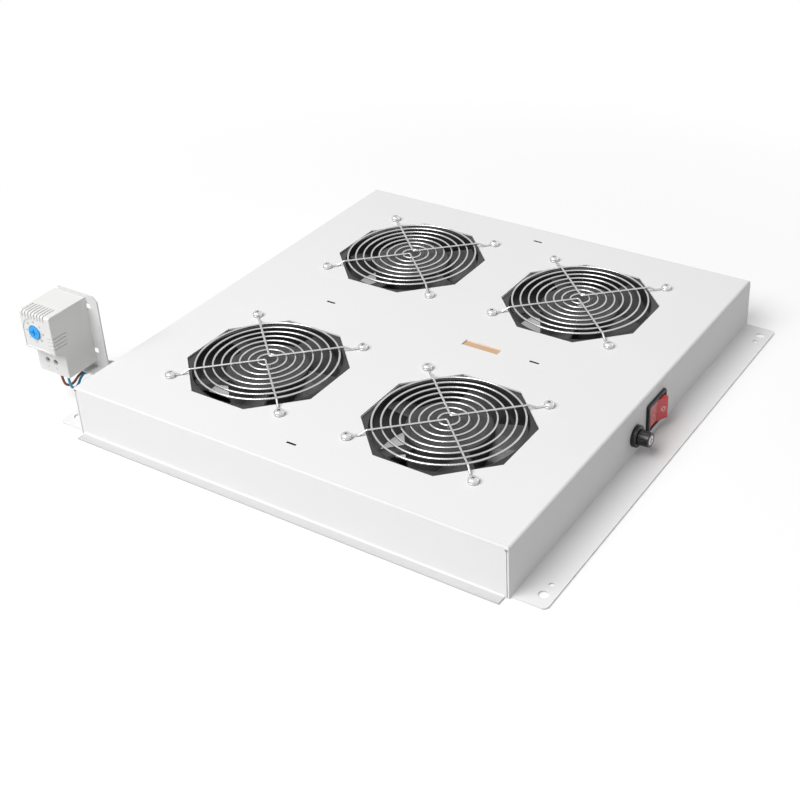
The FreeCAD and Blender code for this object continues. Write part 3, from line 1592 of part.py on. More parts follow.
def cut_cover_holes(body):
    """Slanted vents and two screwdriver holes in front, two wire holes underneath."""
    sketch = new_sketch(body, "vent_section", "YZ_Plane", stat_front - 1)
    low, high = size("vent_low"), size("vent_high")
    width = size("vent_width")
    lean = size("vent_lean")
    for i in range(int(size("vent_count").value)):
        y = size("vent_first") + size("vent_pitch") * i
        outline(sketch, [(y, low), (y + width, low), (y + width + lean, high), (y + lean, high)])
    pocket(body, "vents", sketch, size("stat_step") + stat_wall + 2, reverse=True)
    sketch = new_sketch(body, "driver_hole_section", "YZ_Plane", stat_front - 1)
    for y in terminal_sides():
        circle(sketch, y, size("terminal_height"), size("driver_hole_radius"))
    pocket(body, "driver_holes", sketch, size("stat_step") + stat_wall + 2, reverse=True)
    sketch = new_sketch(body, "wire_exit_plan", "XY_Plane", -1)
    for x, y in wire_exit_places():
        circle(sketch, x, y, size("core_wire_radius") + size("wire_exit_clearance"))
    pocket(body, "wire_exits", sketch, stat_wall + 2, reverse=True)


def terminal_sides():
    first = size("terminal_first")
    return (first, first + size("terminal_pitch"))


def repeat_along(body, name, original, axis_role, length, count):
    feature = body.newObject("PartDesign::LinearPattern", name)
    feature.Originals = [original]
    feature.Direction = (origin_part(body, axis_role), [""])
    bind(feature, "Length", length)
    bind(feature, "Occurrences", count)
    body.Tip = feature
    return feature


def make_thermostat_dial():
    """Flat knob with a crossed slot; its stem turns in the cover and carries the cam."""
    x = stat_back + stat_front + size("panel_depth") - size("dial_proud")
    y = stat_side + size("dial_side")
    z = size("stat_bottom") + size("dial_height")
    knob = rod("dial_knob", size("dial_radius"), size("dial_depth"), x, y, z, "+X")
    stem = rod("dial_stem", size("dial_radius") * 0.5, size("dial_stem"),
               x + size("dial_depth"), y, z, "+X")
    blank = fuse("dial_blank", [knob, stem])
    half = size("dial_slot_width") / 2
    reach = size("dial_radius") * 0.55
    deep = x + size("dial_depth") * 0.4
    level = box("dial_slot_level", x - 1, deep, y - reach, y + reach, z - half, z + half)
    upright = box("dial_slot_upright", x - 1, deep, y - half, y + half, z - reach, z + reach)
    slots = fuse("dial_slots", [level, upright])
    return keep(cut("dial_solid", blank, slots), "thermostat_dial")


def make_thermostat_screws():
    """Terminal screws, heads facing the driver holes, in brass cages held by the base."""
    screws = []
    x = stat_back + stat_low_front + stat_wall
    z = size("stat_bottom") + size("terminal_height")
    for i, side in enumerate(terminal_sides()):
        y = stat_side + side
        name = "stat_screw_%d" % i
        head = rod(name + "_head", size("driver_hole_radius") - 0.2, 1.6, x + 0.8, y, z, "+X")
        shank = rod(name + "_shank", size("stud_radius"), size("stat_screw_length"), x + 2.4, y, z,
                    "+X")
        slot = box(name + "_slot", x, x + 1.6, y - 3, y + 3, z - 0.35, z + 0.35)
        screws.append(cut(name, fuse(name + "_blank", [head, shank]), slot))
    keep(group("stat_screw_set", screws), "thermostat_terminal_screws")


def make_thermostat_base():
    """Moulded base inside the housing that carries the terminals and the bimetal strip."""
    x0 = stat_back + stat_low_front + stat_wall + 3
    x1 = stat_back - stat_wall
    y0 = stat_side + stat_wall
    y1 = y0 + stat_width - stat_wall * 2
    z0 = size("stat_bottom") + stat_wall
    z1 = size("stat_bottom") + size("stat_step_height")
    block = box("stat_base_block", x0, x1, y0, y1, z0, z1)
    tools = []
    length = size("stat_screw_length") + 2
    for i, side in enumerate(terminal_sides()):
        tools.append(rod("stat_base_bore_%d" % i, size("stud_radius"), length, x0 - 1,
                         stat_side + side, size("stat_bottom") + size("terminal_height"),
                         "+X"))
    bores = fuse("stat_base_bores", tools)
    return keep(cut("stat_base_solid", block, bores), "thermostat_base")


def make_bimetal():
    """Thin strip that stands on the base and bends against the dial's stem as it warms."""
    base_top = size("stat_bottom") + size("stat_step_height")
    x = stat_back - stat_wall - size("stat_split") * 0.35
    y = stat_side + size("dial_side")
    half = size("bimetal_width") / 2
    strip = box("bimetal_strip", x, x + size("bimetal_thickness"), y - half, y + half, base_top,
                size("stat_bottom") + size("dial_height") + half)
    return keep(strip, "thermostat_bimetal")


# ---------------------------------------------------------------- bracket


def bracket_screw_places():
    """The two screws of the wall tab, as X and Z on the side wall."""
    middle = stat_back - size("bracket_front") + size("bracket_tab") / 2
    half = size("bracket_screw_pitch") / 2
    return ((middle - half, size("bracket_screw_z")), (middle + half, size("bracket_screw_z")))


def make_bracket():
    """One folded sheet: a tab on the wall, a shelf, and an upright plate that is the rail."""
    body = new_body("thermostat_bracket")
    thickness = size("bracket_thickness")
    shelf_top = size("bracket_shelf")
    shelf_low = shelf_top - thickness
    front = stat_back - size("bracket_front")
    rear = stat_back + thickness
    tab_end = front + size("bracket_tab")
    plate_start = stat_side - size("bracket_side")
    plate_end = stat_side + stat_width - size("bracket_short")
    sketch = new_sketch(body, "bracket_shelf_plan", "XY_Plane", shelf_low)
    points = [(front, side_wall), (tab_end, side_wall), (tab_end, plate_start)]
    points += [(rear, plate_start), (rear, plate_end), (front, plate_end)]
    outline(sketch, points)
    pad(body, "bracket_shelf_sheet", sketch, thickness)
    sketch = new_sketch(body, "bracket_plate_section", "YZ_Plane", stat_back)
    cut_back = size("bracket_chamfer")
    high = size("bracket_top")
    points = [(plate_start, shelf_low), (plate_end, shelf_low), (plate_end, high)]
    points += [(plate_start + cut_back, high), (plate_start, high - cut_back)]
    outline(sketch, points)
    window_y = stat_side - size("rail_window_side")
    for side in (1, -1):
        z = size("rail_middle") + side * size("rail_web") / 2
        far = z + side * size("rail_window_z")
        rectangle(sketch, window_y, window_y + size("rail_window_y"), z, far)
    pad(body, "bracket_plate", sketch, thickness)
    sketch = new_sketch(body, "bracket_tab_section", "XZ_Plane", -side_wall)
    low = size("bracket_tab_low")
    rectangle(sketch, front, tab_end, low, shelf_top)
    for x, z in bracket_screw_places():
        circle(sketch, x, z, size("screw_radius") + size("cutout_clearance"))
    pad(body, "bracket_wall_tab", sketch, thickness, reverse=True)

    def is_fold(edge):
        middle = edge_middle(edge)
        plate_fold = is_along(edge, Y_AXIS) and near(middle.x, rear) and near(middle.z, shelf_low)
        tab_fold = is_along(edge, X_AXIS) and near(middle.y, side_wall)
        return plate_fold or (tab_fold and near(middle.z, shelf_top))

    round_edges(body, "bracket_folds", thickness * 0.95, is_fold)
    return keep(body, "thermostat_bracket")


def make_bracket_fasteners():
    screws = []
    nuts = []
    seat = side_wall + size("bracket_thickness")
    inner = side_wall - sheet_t
    head = (size("screw_head_radius"), size("screw_head_height"))
    for i, (x, z) in enumerate(bracket_screw_places()):
        name = "bracket_screw_%d" % i
        screws.append(make_screw(name, x, seat, z, "-Y", size("screw_radius"),
                                 size("bracket_screw_length"), *head))
        nuts.append(make_nut("bracket_nut_%d" % i, x, inner, z, "-Y", size("nut_across"),
                             size("nut_height"), size("screw_radius"),
                             int(size("shank_sides").value)))
    keep(group("bracket_screw_set", screws), "bracket_screws")
    return nuts


# ---------------------------------------------------------------- wiring

SHEATH_ROUTE = [
    (-154, 229, 18.2),
    (-142, 228.1, 19.5),
    (-131, 218, 16.5),
    (-128, 202, 14.2),
    (-128, 175, 14),
    (-119, 163, 24),
    (-98, 160, 33.5),
    (-62, 160, 36.4),
    (-28, 157, 36.6),
    (-6, 140, 36.2),
    (0, 108, 36.6),
    (0.5, 62, 36),
    (0, 20, 36.6),
    (0, -6, 35.2),
    (0, -28, 33.7),
]
BROWN_ROUTE = [
    (-176.5, 230, 33),
    (-176, 230, 20.8),
    (-172.4, 230.2, 14.9),
    (-165.8, 230.5, 13.2),
    (-158.6, 230.7, 17.7),
    (-153.95, 230.3, 18.2),
]
BLUE_ROUTE = [
    (-176.5, 222.5, 33),
    (-176, 222.7, 20.2),
    (-172.4, 223.6, 14.1),
    (-165.8, 225.8, 12.4),
    (-158.8, 228.1, 17.7),
    (-154.15, 227.7, 18.2),
]
BROWN_TAIL = [
    (-1.2, -28.05, 33.7),
    (-1.2, -31, 33.5),
    (-0.4, -35, 33.6),
    (0, -41, 33.7),
]
BLUE_TAIL = [
    (1.2, -28.05, 33.7),
    (1.3, -31, 33.5),
    (4.6, -35.4, 33.6),
    (5.4, -41, 33.7),
]


def make_cable():
    """Sheathed two-core cable from the thermostat through the side wall to the terminals."""
    sides = int(size("tube_sides").value)
    sheath = tube_along("cable sheath", SHEATH_ROUTE, size("sheath_radius").value, None, sides)
    keep(formed("sheath_tube", sheath), "thermostat_cable")
    core = size("core_wire_radius").value
    for word, routes in (("brown", (BROWN_ROUTE, BROWN_TAIL)), ("blue", (BLUE_ROUTE, BLUE_TAIL))):
        ends = []
        for i, route in enumerate(routes):
            solid = tube_along("%s core" % word, route, core, None, sides)
            ends.append(formed("%s_core_%d" % (word, i), solid))
        keep(group(word + "_core", ends), "wire_" + word)


def make_cable_clips():
    """Clips stuck under the top plate that carry the cable inside the tray."""
    clips = []
    for i, run in enumerate(CLIPPED_RUNS):
        start, end = Vector(*SHEATH_ROUTE[run]), Vector(*SHEATH_ROUTE[run + 1])
        middle = (start + end) / 2
        heading = math.degrees(math.atan2(end.y - start.y, end.x - start.x))
        reach = size("sheath_radius") + size("clip_wall") + size("clip_clearance")
        low = as_size(middle.z) - reach
        name = "clip_%d" % i
        half = size("clip_length") / 2
        block = box(name + "_block", -half, half, -reach, reach, low, under_top)
        bore = rod(name + "_bore", size("sheath_radius") + size("clip_clearance"),
                   size("clip_length"), -half, 0, middle.z, "+X")
        clip = cut(name, block, bore)
        clip.Placement = Placement(Vector(middle.x, middle.y, 0), Rotation(Z_AXIS, heading))
        clips.append(clip)
    keep(group("clip_set", clips), "cable_clips")


CLIPPED_RUNS = (6, 7, 10, 11)


def make_grommet():
    """Rubber ring that snaps in the wall hole and grips the sheath."""
    body = new_body("cable_grommet")
    bore = size("sheath_radius") + size("grommet_clearance")
    waist = size("grommet_radius")
    lip = waist + size("grommet_lip")
    thick = size("grommet_lip")
    sketch = new_sketch(body, "grommet_section", "YZ_Plane")
    points = [(thick * 1.5, bore), (thick * 1.5, waist), (thick, lip), (0, lip), (0, waist)]
    points += [(-sheet_t, waist), (-sheet_t, lip), (-sheet_t - thick, lip)]
    points += [(-sheet_t - thick * 1.5, waist), (-sheet_t - thick * 1.5, bore)]
    outline(sketch, points)
    revolve(body, "grommet_ring", sketch, "Y_Axis")
    place(body, -size("grommet_x"), side_wall, size("grommet_z"))
    return keep(body, "cable_grommet")


def make_gland():
    """Screwed cable gland in the end wall: hexagon, dome and bore, with its nut inside."""
    wall = tray_x / 2
    y, z = size("gland_y"), size("gland_z")
    radius = size("gland_radius")
    hexagon = size("gland_across") / 2 / HEXAGON
    base = rod("gland_hexagon", hexagon, size("gland_flange"), wall, y, z, "+X", sides=6)
    dome = doc.addObject("Part::Cone", "gland_dome")
    bind(dome, "Radius1", size("gland_across") / 2 - 0.5)
    bind(dome, "Radius2", size("gland_bore") + 2)
    bind(dome, "Height", size("gland_dome"))
    dome.Placement = Placement(Vector(), TURNS["+X"])
    place(dome, wall + size("gland_flange"), y, z)
    thread = rod("gland_thread", radius, size("gland_thread"), wall, y, z, "-X")
    blank = fuse("gland_blank", [base, dome, thread])
    length = size("gland_thread") + size("gland_flange") + size("gland_dome")
    bore = rod("gland_bore_tool", size("gland_bore"), length + 2,
               wall - size("gland_thread") - 1, y, z, "+X")
    keep(cut("gland_solid", blank, bore), "mains_gland")
    nut = make_nut("gland_nut_solid", wall - sheet_t, y, z, "-X", size("gland_across"),
                   size("nut_height") + 1, radius + 0.05)
    keep(nut, "gland_nut")


# ---------------------------------------------------------------- the whole object


def make_all():
    make_tray()
    for number, (side_x, side_y) in enumerate(QUADRANTS, 1):
        x, y = side_x * fan_x, side_y * fan_y
        make_fan_frame(number, x, y)
        make_fan_stator(number, x, y)
        make_fan_rotor(number, x, y)
        make_fan_shaft(number, x, y)
        make_fan_bearings(number, x, y)
    make_guards()
    fixing_nuts = make_fan_fasteners()
    make_fan_terminals()
    make_terminal_board()
    make_terminal_block()
    make_clamp_screws()
    fixing_nuts += make_studs()
    make_switch_housing()
    make_rocker()
    make_switch_terminals()
    make_switch_lamp()
    make_fuse_holder()
    make_fuse_nut()
    make_fuse_tags()
    make_fuse_carrier()
    make_fuse_link()
    make_fuse_cap()
    make_cap_insert()
    make_thermostat_case()
    make_thermostat_cover()
    make_thermostat_dial()
    make_thermostat_base()
    make_thermostat_screws()
    make_bimetal()
    make_bracket()
    fixing_nuts += make_bracket_fasteners()
    keep(group("fixing_nut_set", fixing_nuts), "fixing_nuts")
    make_cable()
    make_cable_clips()
    make_grommet()
    make_gland()


def check_document():
    doc.recompute()
    for item in doc.Objects:
        if "Invalid" in item.State or "Error" in item.State:
            raise ValueError("%s did not rebuild: %s" % (item.Label, item.State))
        if item.TypeId in ("PartDesign::Pocket", "PartDesign::Groove"):
            before = item.BaseFeature.Shape.Volume
            if before - item.Shape.Volume < NEAR:
                raise ValueError("%s cuts nothing" % item.Label)
    for item in nodes:
        if item.Shape.isNull() or not item.Shape.isValid():
            raise ValueError("%s has no valid shape" % item.Label)
        if item.isDerivedFrom("PartDesign::Body") and len(item.Shape.Solids) != 1:
            raise ValueError("%s is in %d pieces" % (item.Label, len(item.Shape.Solids)))


def write_parts():
    os.makedirs("parts", exist_ok=True)
    for item in nodes:
        item.Shape.exportStep("parts/%s.step" % item.Label)


make_all()
check_document()
write_parts()
print("wrote", len(nodes), "nodes")
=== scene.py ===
"""Rack fan tray: white powder-coated steel, four black fans under bright wire guards, a red
rocker switch and a fuse holder in front, and a small pale thermostat on a bracket at the side.

Lengths are in millimetres, and MM turns them into Blender's metres.
"""

import math

import bmesh
import bpy
from mathutils import Matrix, Vector


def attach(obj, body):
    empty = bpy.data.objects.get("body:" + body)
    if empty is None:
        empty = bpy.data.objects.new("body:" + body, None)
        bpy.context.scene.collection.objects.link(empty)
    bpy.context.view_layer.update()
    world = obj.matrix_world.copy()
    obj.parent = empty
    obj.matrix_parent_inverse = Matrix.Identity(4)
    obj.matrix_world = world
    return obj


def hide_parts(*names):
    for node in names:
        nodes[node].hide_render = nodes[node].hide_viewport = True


MM = 0.001
WELD_GAP = 0.002

# The tray: half its length, the top face's height, its sheet and its outside fold radius.
HALF_LENGTH = 200
TOP = 42
SHEET = 1.2
FOLD = 2
FANS = ((100, 82.5), (100, -82.5), (-100, 82.5), (-100, -82.5))
# The slots in the top, and the half size of the dark painted shade laid over each of them.
SLOT_PLACES = ((177, 0), (-177, 0), (0, 96), (0, -96))
SLOT_SHADE_HALF = (0.95, 4.1)

# The guards: wire, rings, spokes and the eyelets under the fans' screws.
WIRE = 0.85
RING_FIRST = 7.8
RING_PITCH = 6.8
RING_COUNT = 8
RING_LEVEL = TOP + 2.6
SPOKE_LEVEL = TOP + 4.05
SPOKE_OFFSET = 2.6
SPOKE_BEND = 1.6
STEP_REACH = 59.4
FOOT = 5.5
EYELET = 3.1
CORNER = 52.5

# The screws: the height of the head, the recess's arms and the bracket's two places.
HEAD_HEIGHT = 2.6
RECESS_ARM = (4.6, 0.95, 3.4)
THREAD_PITCH = 0.7
BRACKET_FACE = 191.2
BRACKET_SCREW_Z = 13

# The thermostat's dial, its sunk panel, the scale round it and the two terminals.
DIAL = (-189, 235, 71)
PANEL_DEPTH = 0.5
SCALE_START = -135
FIGURE_REACH = 8.7
STROKE_REACH = 6.8
LOWER_FRONT = -180
TERMINALS = (("2", 229), ("1", 237.7))
TERMINAL_FIGURE_Z = 35.2

# The rocker: its pivot, its turn at rest, and its two facets.
ROCKER_PIVOT = (16.5, -186.9, 19.9)
ROCKER_TURN = -13
FACET_ANGLE = 14
FACET_WAIST = 5
MARK_REACH = 6.4
MARK_LIFT = 0.08

# Light, floor and camera, in metres.
WORLD_LIGHT = 0.26
FLOOR_HALF = 4
SHADOW_REACH = (0.3, 0.62)
KEY_LIGHT = (-1.95, 0.75, 2.75)
FAR_FILL = (1.4, -1.2, 0.5)
CAMERA_PLACE = (-0.7921, -0.5433, 0.6103)
CAMERA_TURN = (58.959, 1.701, -58.049)
CAMERA_LENS = 63.291
CAMERA_SHIFT = -0.075

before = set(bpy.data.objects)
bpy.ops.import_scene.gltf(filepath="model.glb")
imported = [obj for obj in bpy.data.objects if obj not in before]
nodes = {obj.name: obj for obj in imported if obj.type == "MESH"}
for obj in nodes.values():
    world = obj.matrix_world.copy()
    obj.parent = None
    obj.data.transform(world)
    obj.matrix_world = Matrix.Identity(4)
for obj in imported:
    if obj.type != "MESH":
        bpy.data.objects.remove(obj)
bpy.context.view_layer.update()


# ---------------------------------------------------------------- shader arithmetic


class Socket:
    """An output of a shader node that can be added, multiplied and so on in plain Python."""

    def __init__(self, paint, output):
        self.paint = paint
        self.output = output

    def _math(self, operation, *values):
        numbered = dict(enumerate(values))
        return self.paint.node("ShaderNodeMath", {"operation": operation}, numbered)[0]

    def __add__(self, other):
        return self._math("ADD", self, other)

    __radd__ = __add__

    def __mul__(self, other):
        return self._math("MULTIPLY", self, other)

    __rmul__ = __mul__

    def __sub__(self, other):
        return self._math("SUBTRACT", self, other)

    def __rsub__(self, other):
        return self._math("SUBTRACT", other, self)

    def __gt__(self, other):
        return self._math("GREATER_THAN", self, other)

    def __lt__(self, other):
        return self._math("LESS_THAN", self, other)

    def power(self, other):
        return self._math("POWER", self, other)

    def highest(self, other):
        return self._math("MAXIMUM", self, other)

    def wave(self):
        return self._math("SINE", self)

    def size(self):
        return self._math("ABSOLUTE", self)


class NodeTree:
    """A cleared tree of a material or a world, whose nodes are all made by one method."""

    def __init__(self, owner):
        owner.use_nodes = True
        self.tree = owner.node_tree
        self.tree.nodes.clear()

    def node(self, kind, settings=None, values=None):
        """Makes a node, sets it, fills its sockets by name or number, and gives its outputs."""
        item = self.tree.nodes.new(kind)
        for key, value in (settings or {}).items():
            setattr(item, key, value)
        for key, value in (values or {}).items():
            if isinstance(value, Socket):
                self.tree.links.new(value.output, item.inputs[key])
            elif isinstance(value, (tuple, list)) and len(value) == 3:
                socket = item.inputs[key]
                socket.default_value = value + (1,) if len(socket.default_value) == 4 else value
            else:
                item.inputs[key].default_value = value
        return [Socket(self, output) for output in item.outputs]


class Paint(NodeTree):
    """A material, with the patterns that the finishes share."""

    def __init__(self, name):
        self.material = bpy.data.materials.new(name)
        super().__init__(self.material)

    def place(self):
        """Coordinates on the object in metres."""
        return self.node("ShaderNodeTexCoord")[3]

    def axes(self, place=None):
        return self.node("ShaderNodeSeparateXYZ", None, {0: place or self.place()})

    def noise(self, scale, detail=2, place=None, roughness=0.5):
        values = {"Vector": place or self.place(), "Scale": scale, "Detail": detail,
                  "Roughness": roughness}
        return self.node("ShaderNodeTexNoise", None, values)[0]

    def stretched(self, scale, centre=(0, 0, 0)):
        """The same place, stretched by a factor on each axis about a centre."""
        start = tuple(-c * s for c, s in zip(centre, scale))
        values = {"Vector": self.place(), "Location": start, "Scale": scale}
        return self.node("ShaderNodeMapping", None, values)[0]

    def blend(self, factor, first, second):
        values = {0: factor, 6: first, 7: second}
        for key in (6, 7):
            if isinstance(values[key], tuple):
                values[key] = values[key] + (1,)
        return self.node("ShaderNodeMix", {"data_type": "RGBA"}, values)[2]

    def spread(self, value, low, high, start=0.0, end=1.0):
        values = {0: value, 1: start, 2: end, 3: low, 4: high}
        return self.node("ShaderNodeMapRange", {"clamp": True}, values)[0]

    def bump(self, height, depth, strength=1.0):
        values = {"Height": height, "Distance": depth, "Strength": strength}
        return self.node("ShaderNodeBump", None, values)[0]

    def surface(self, **values):
        """The finished surface; underscores in the names stand for spaces."""
        named = {key.replace("_", " "): value for key, value in values.items()}
        shader = self.node("ShaderNodeBsdfPrincipled", None, named)[0]
        self.node("ShaderNodeOutputMaterial", None, {"Surface": shader})
        return self.material


def tone(value):
    """A display value from 0 to 255 as the linear value that shaders take."""
    share = value / 255
    return share / 12.92 if share <= 0.04045 else ((share + 0.055) / 1.055) ** 2.4


def colour(red, green, blue):
    return (tone(red), tone(green), tone(blue))


def times(shade, factor, lift=0):
    """A colour made darker or lighter by a factor, and lifted by an even amount."""
    return tuple(min(1, part * factor + lift) for part in shade)


# ---------------------------------------------------------------- finishes


def powder_coat(name, shade, slots=()):
    """Baked powder paint: a fine orange peel, with a very slight drift of tone.

    Painted shade darkens the narrow slots, given by their places, and one of the end flanges;
    a little painted shade on the end folds takes out their highlight.
    """
    paint = Paint(name)
    place = paint.place()
    peel = paint.noise(1500, 2, place) * 0.7 + paint.noise(520, 2, place) * 0.5
    drift = paint.noise(9, 3, place)
    speck = paint.noise(2600, 1, place)
    base = paint.blend(drift, times(shade, 0.97), times(shade, 1.02))
    base = paint.blend(paint.spread(speck, 0, 0.06, 0.62, 0.8), base, times(shade, 0.7))
    if slots:
        x, y, z = paint.axes(place)
        # Painted shade: the narrow slots and a thin rim round each are painted near black, as if
        # shadowed inside.
        inside = 0
        for at_x, at_y in slots:
            near_x = (x - at_x * MM).size() < SLOT_SHADE_HALF[0] * MM
            near_y = (y - at_y * MM).size() < SLOT_SHADE_HALF[1] * MM
            inside = near_x * near_y + inside
        base = paint.blend(inside, base, colour(30, 30, 31))
        # Painted shade: the flange at the -X end is painted darker, as if it lay in shade.
        flange_shade = (x < -(HALF_LENGTH + 1) * MM) * (z < (SHEET + 0.2) * MM)
        base = paint.blend(flange_shade, base, times(shade, 0.7))
        # Painted shade: the folds at both ends of the top are painted a little darker, which
        # takes out their highlight.
        fold_shade = (x.size() > (HALF_LENGTH - FOLD) * MM) * (z > (TOP - FOLD) * MM)
        base = paint.blend(fold_shade, base, times(shade, 0.92))
    rough = paint.spread(peel, 0.5, 0.64, 0.4, 0.9)
    return paint.surface(Base_Color=base, Roughness=rough, Specular_IOR_Level=0.25,
                         Normal=paint.bump(peel, 0.00006, 0.5))


def cast_black(name, shade, peel_depth=0.00005):
    """Die-cast metal under thin black paint: coarse skin, paler where it catches dust."""
    paint = Paint(name)
    place = paint.place()
    skin = paint.noise(900, 3, place) * 0.6 + paint.noise(240, 3, place) * 0.5
    dust = paint.noise(45, 4, place)
    dusty = paint.spread(dust, 0, 1, 0.35, 0.75)
    base = paint.blend(dusty, shade, times(shade, 1.7, 0.004))
    return paint.surface(Base_Color=base, Roughness=paint.spread(skin, 0.3, 0.46, 0.3, 0.8),
                         Specular_IOR_Level=0.5, Normal=paint.bump(skin, peel_depth, 0.6))


def moulded(name, shade, rough=0.4, grain=1400, depth=0.00003, sheen=0.02):
    """Moulded plastic: fine spark-eroded grain and faint flow tone."""
    paint = Paint(name)
    place = paint.place()
    fine = paint.noise(grain, 2, place)
    flow = paint.noise(38, 3, place)
    base = paint.blend(flow, times(shade, 1 - sheen), times(shade, 1 + sheen))
    return paint.surface(Base_Color=base,
                         Roughness=paint.spread(fine, rough - 0.05, rough + 0.06, 0.3, 0.7),
                         Specular_IOR_Level=0.45, Normal=paint.bump(fine, depth, 0.5))


def plated(name, shade, rough):
    """Plated steel: bright, with fine marks and cloudy patches."""
    paint = Paint(name)
    marks = paint.noise(600, 3)
    cloud = paint.noise(120, 3)
    base = paint.blend(cloud, times(shade, 0.86), shade)
    uneven = marks * 0.5 + cloud * 0.5
    return paint.surface(Base_Color=base, Metallic=1.0,
                         Roughness=paint.spread(uneven, rough * 0.6, rough * 1.7, 0.3, 0.7),
                         Normal=paint.bump(marks, 0.00002, 0.4))


def hub_face(name, centre, shade):
    """Impeller plastic with faint turning marks round the fan's own axis."""
    paint = Paint(name)
    place = paint.place()
    x, y, _ = paint.axes(paint.stretched((1, 1, 1), (centre[0] * MM, centre[1] * MM, 0)))
    reach = (x * x + y * y).power(0.5)
    rings = (reach * 5200).wave() * 0.5 + 0.5
    fine = paint.noise(1300, 2, place)
    flow = paint.noise(30, 3, place)
    base = paint.blend(flow, times(shade, 0.86), times(shade, 1.15))
    base = paint.blend(rings * 0.12, base, times(shade, 1.5))
    height = fine * 0.7 + rings * 0.25
    return paint.surface(Base_Color=base, Roughness=paint.spread(fine, 0.33, 0.48, 0.3, 0.7),
                         Specular_IOR_Level=0.5, Normal=paint.bump(height, 0.00003, 0.5))


def board_paper(name):
    """Resin-bonded paper board: warm tan with short fibres."""
    paint = Paint(name)
    fibre = paint.noise(420, 4, paint.stretched((1, 5, 1)))
    patch = paint.noise(60, 3)
    base = paint.blend(fibre, colour(196, 158, 122), colour(222, 190, 158))
    base = paint.blend(patch * 0.35, base, colour(178, 140, 104))
    return paint.surface(Base_Color=base, Roughness=paint.spread(fibre, 0.5, 0.66, 0.3, 0.7),
                         Normal=paint.bump(fibre, 0.00003, 0.6))


def red_lens(name):
    """Clear red plastic with light inside it."""
    paint = Paint(name)
    place = paint.place()
    flow = paint.noise(130, 2, place)
    fine = paint.noise(1700, 1, place)
    base = paint.blend(flow, colour(196, 20, 34), colour(222, 44, 50))
    return paint.surface(Base_Color=base, Roughness=paint.spread(fine, 0.14, 0.24, 0.3, 0.7),
                         Specular_IOR_Level=0.5, Coat_Weight=0.4, Coat_Roughness=0.1,
                         Subsurface_Weight=0.35, Subsurface_Radius=(0.006, 0.0012, 0.001),
                         Normal=paint.bump(fine, 0.00001, 0.3))


def clear_glass(name):
    """The fuse's tube."""
    paint = Paint(name)
    swirl = paint.noise(160, 2)
    base = paint.blend(swirl, (0.9, 0.92, 0.92), (0.98, 0.98, 0.97))
    return paint.surface(Base_Color=base, Roughness=paint.spread(swirl, 0.03, 0.1),
                         Transmission_Weight=0.85, IOR=1.47)


def soft_rubber(name, shade):
    """Black rubber with a pale bloom."""
    paint = Paint(name)
    bloom = paint.noise(140, 4)
    fine = paint.noise(1900, 2)
    base = paint.blend(bloom, shade, times(shade, 1.6, 0.006))
    return paint.surface(Base_Color=base, Roughness=paint.spread(bloom, 0.6, 0.8, 0.3, 0.7),
                         Specular_IOR_Level=0.3, Normal=paint.bump(fine, 0.00003, 0.6))


def core_plastic(name, shade, rough=0.35):
    """Insulation of wires and cables: smooth, with faint drawn lines."""
    paint = Paint(name)
    place = paint.place()
    flow = paint.noise(220, 3, place)
    fine = paint.noise(1500, 1, place)
    base = paint.blend(flow, times(shade, 0.9), times(shade, 1.06))
    return paint.surface(Base_Color=base,
                         Roughness=paint.spread(fine, rough - 0.06, rough + 0.08, 0.3, 0.7),
                         Normal=paint.bump(flow, 0.00004, 0.3))


def brass(name):
    """Tabs and tags, slightly stained."""
    paint = Paint(name)
    stain = paint.noise(190, 4)
    base = paint.blend(stain, colour(196, 160, 92), colour(226, 198, 132))
    return paint.surface(Base_Color=base, Metallic=1.0,
                         Roughness=paint.spread(stain, 0.24, 0.42, 0.3, 0.7),
                         Normal=paint.bump(stain, 0.00002, 0.4))


def copper_winding(name, centre):
    """Core steel between two lacquered windings, told apart by height."""
    paint = Paint(name)
    place = paint.place()
    height = paint.axes(place)[2]
    laminations = (height * 9000).wave() * 0.5 + 0.5
    strand = paint.noise(900, 2, paint.stretched((1, 1, 5), (centre[0] * MM, centre[1] * MM, 0)))
    core_middle, core_half = 17.7, 6.9
    wound = (height - core_middle * MM).size() > core_half * MM
    steel = paint.blend(laminations, colour(92, 90, 88), colour(128, 126, 124))
    copper = paint.blend(strand, colour(120, 58, 28), colour(190, 104, 56))
    return paint.surface(Base_Color=paint.blend(wound, steel, copper), Metallic=0.6,
                         Roughness=paint.spread(strand, 0.3, 0.5),
                         Normal=paint.bump(strand, 0.00008, 0.5))


WHITE = colour(236, 235, 235)
PALE = colour(228, 228, 227)

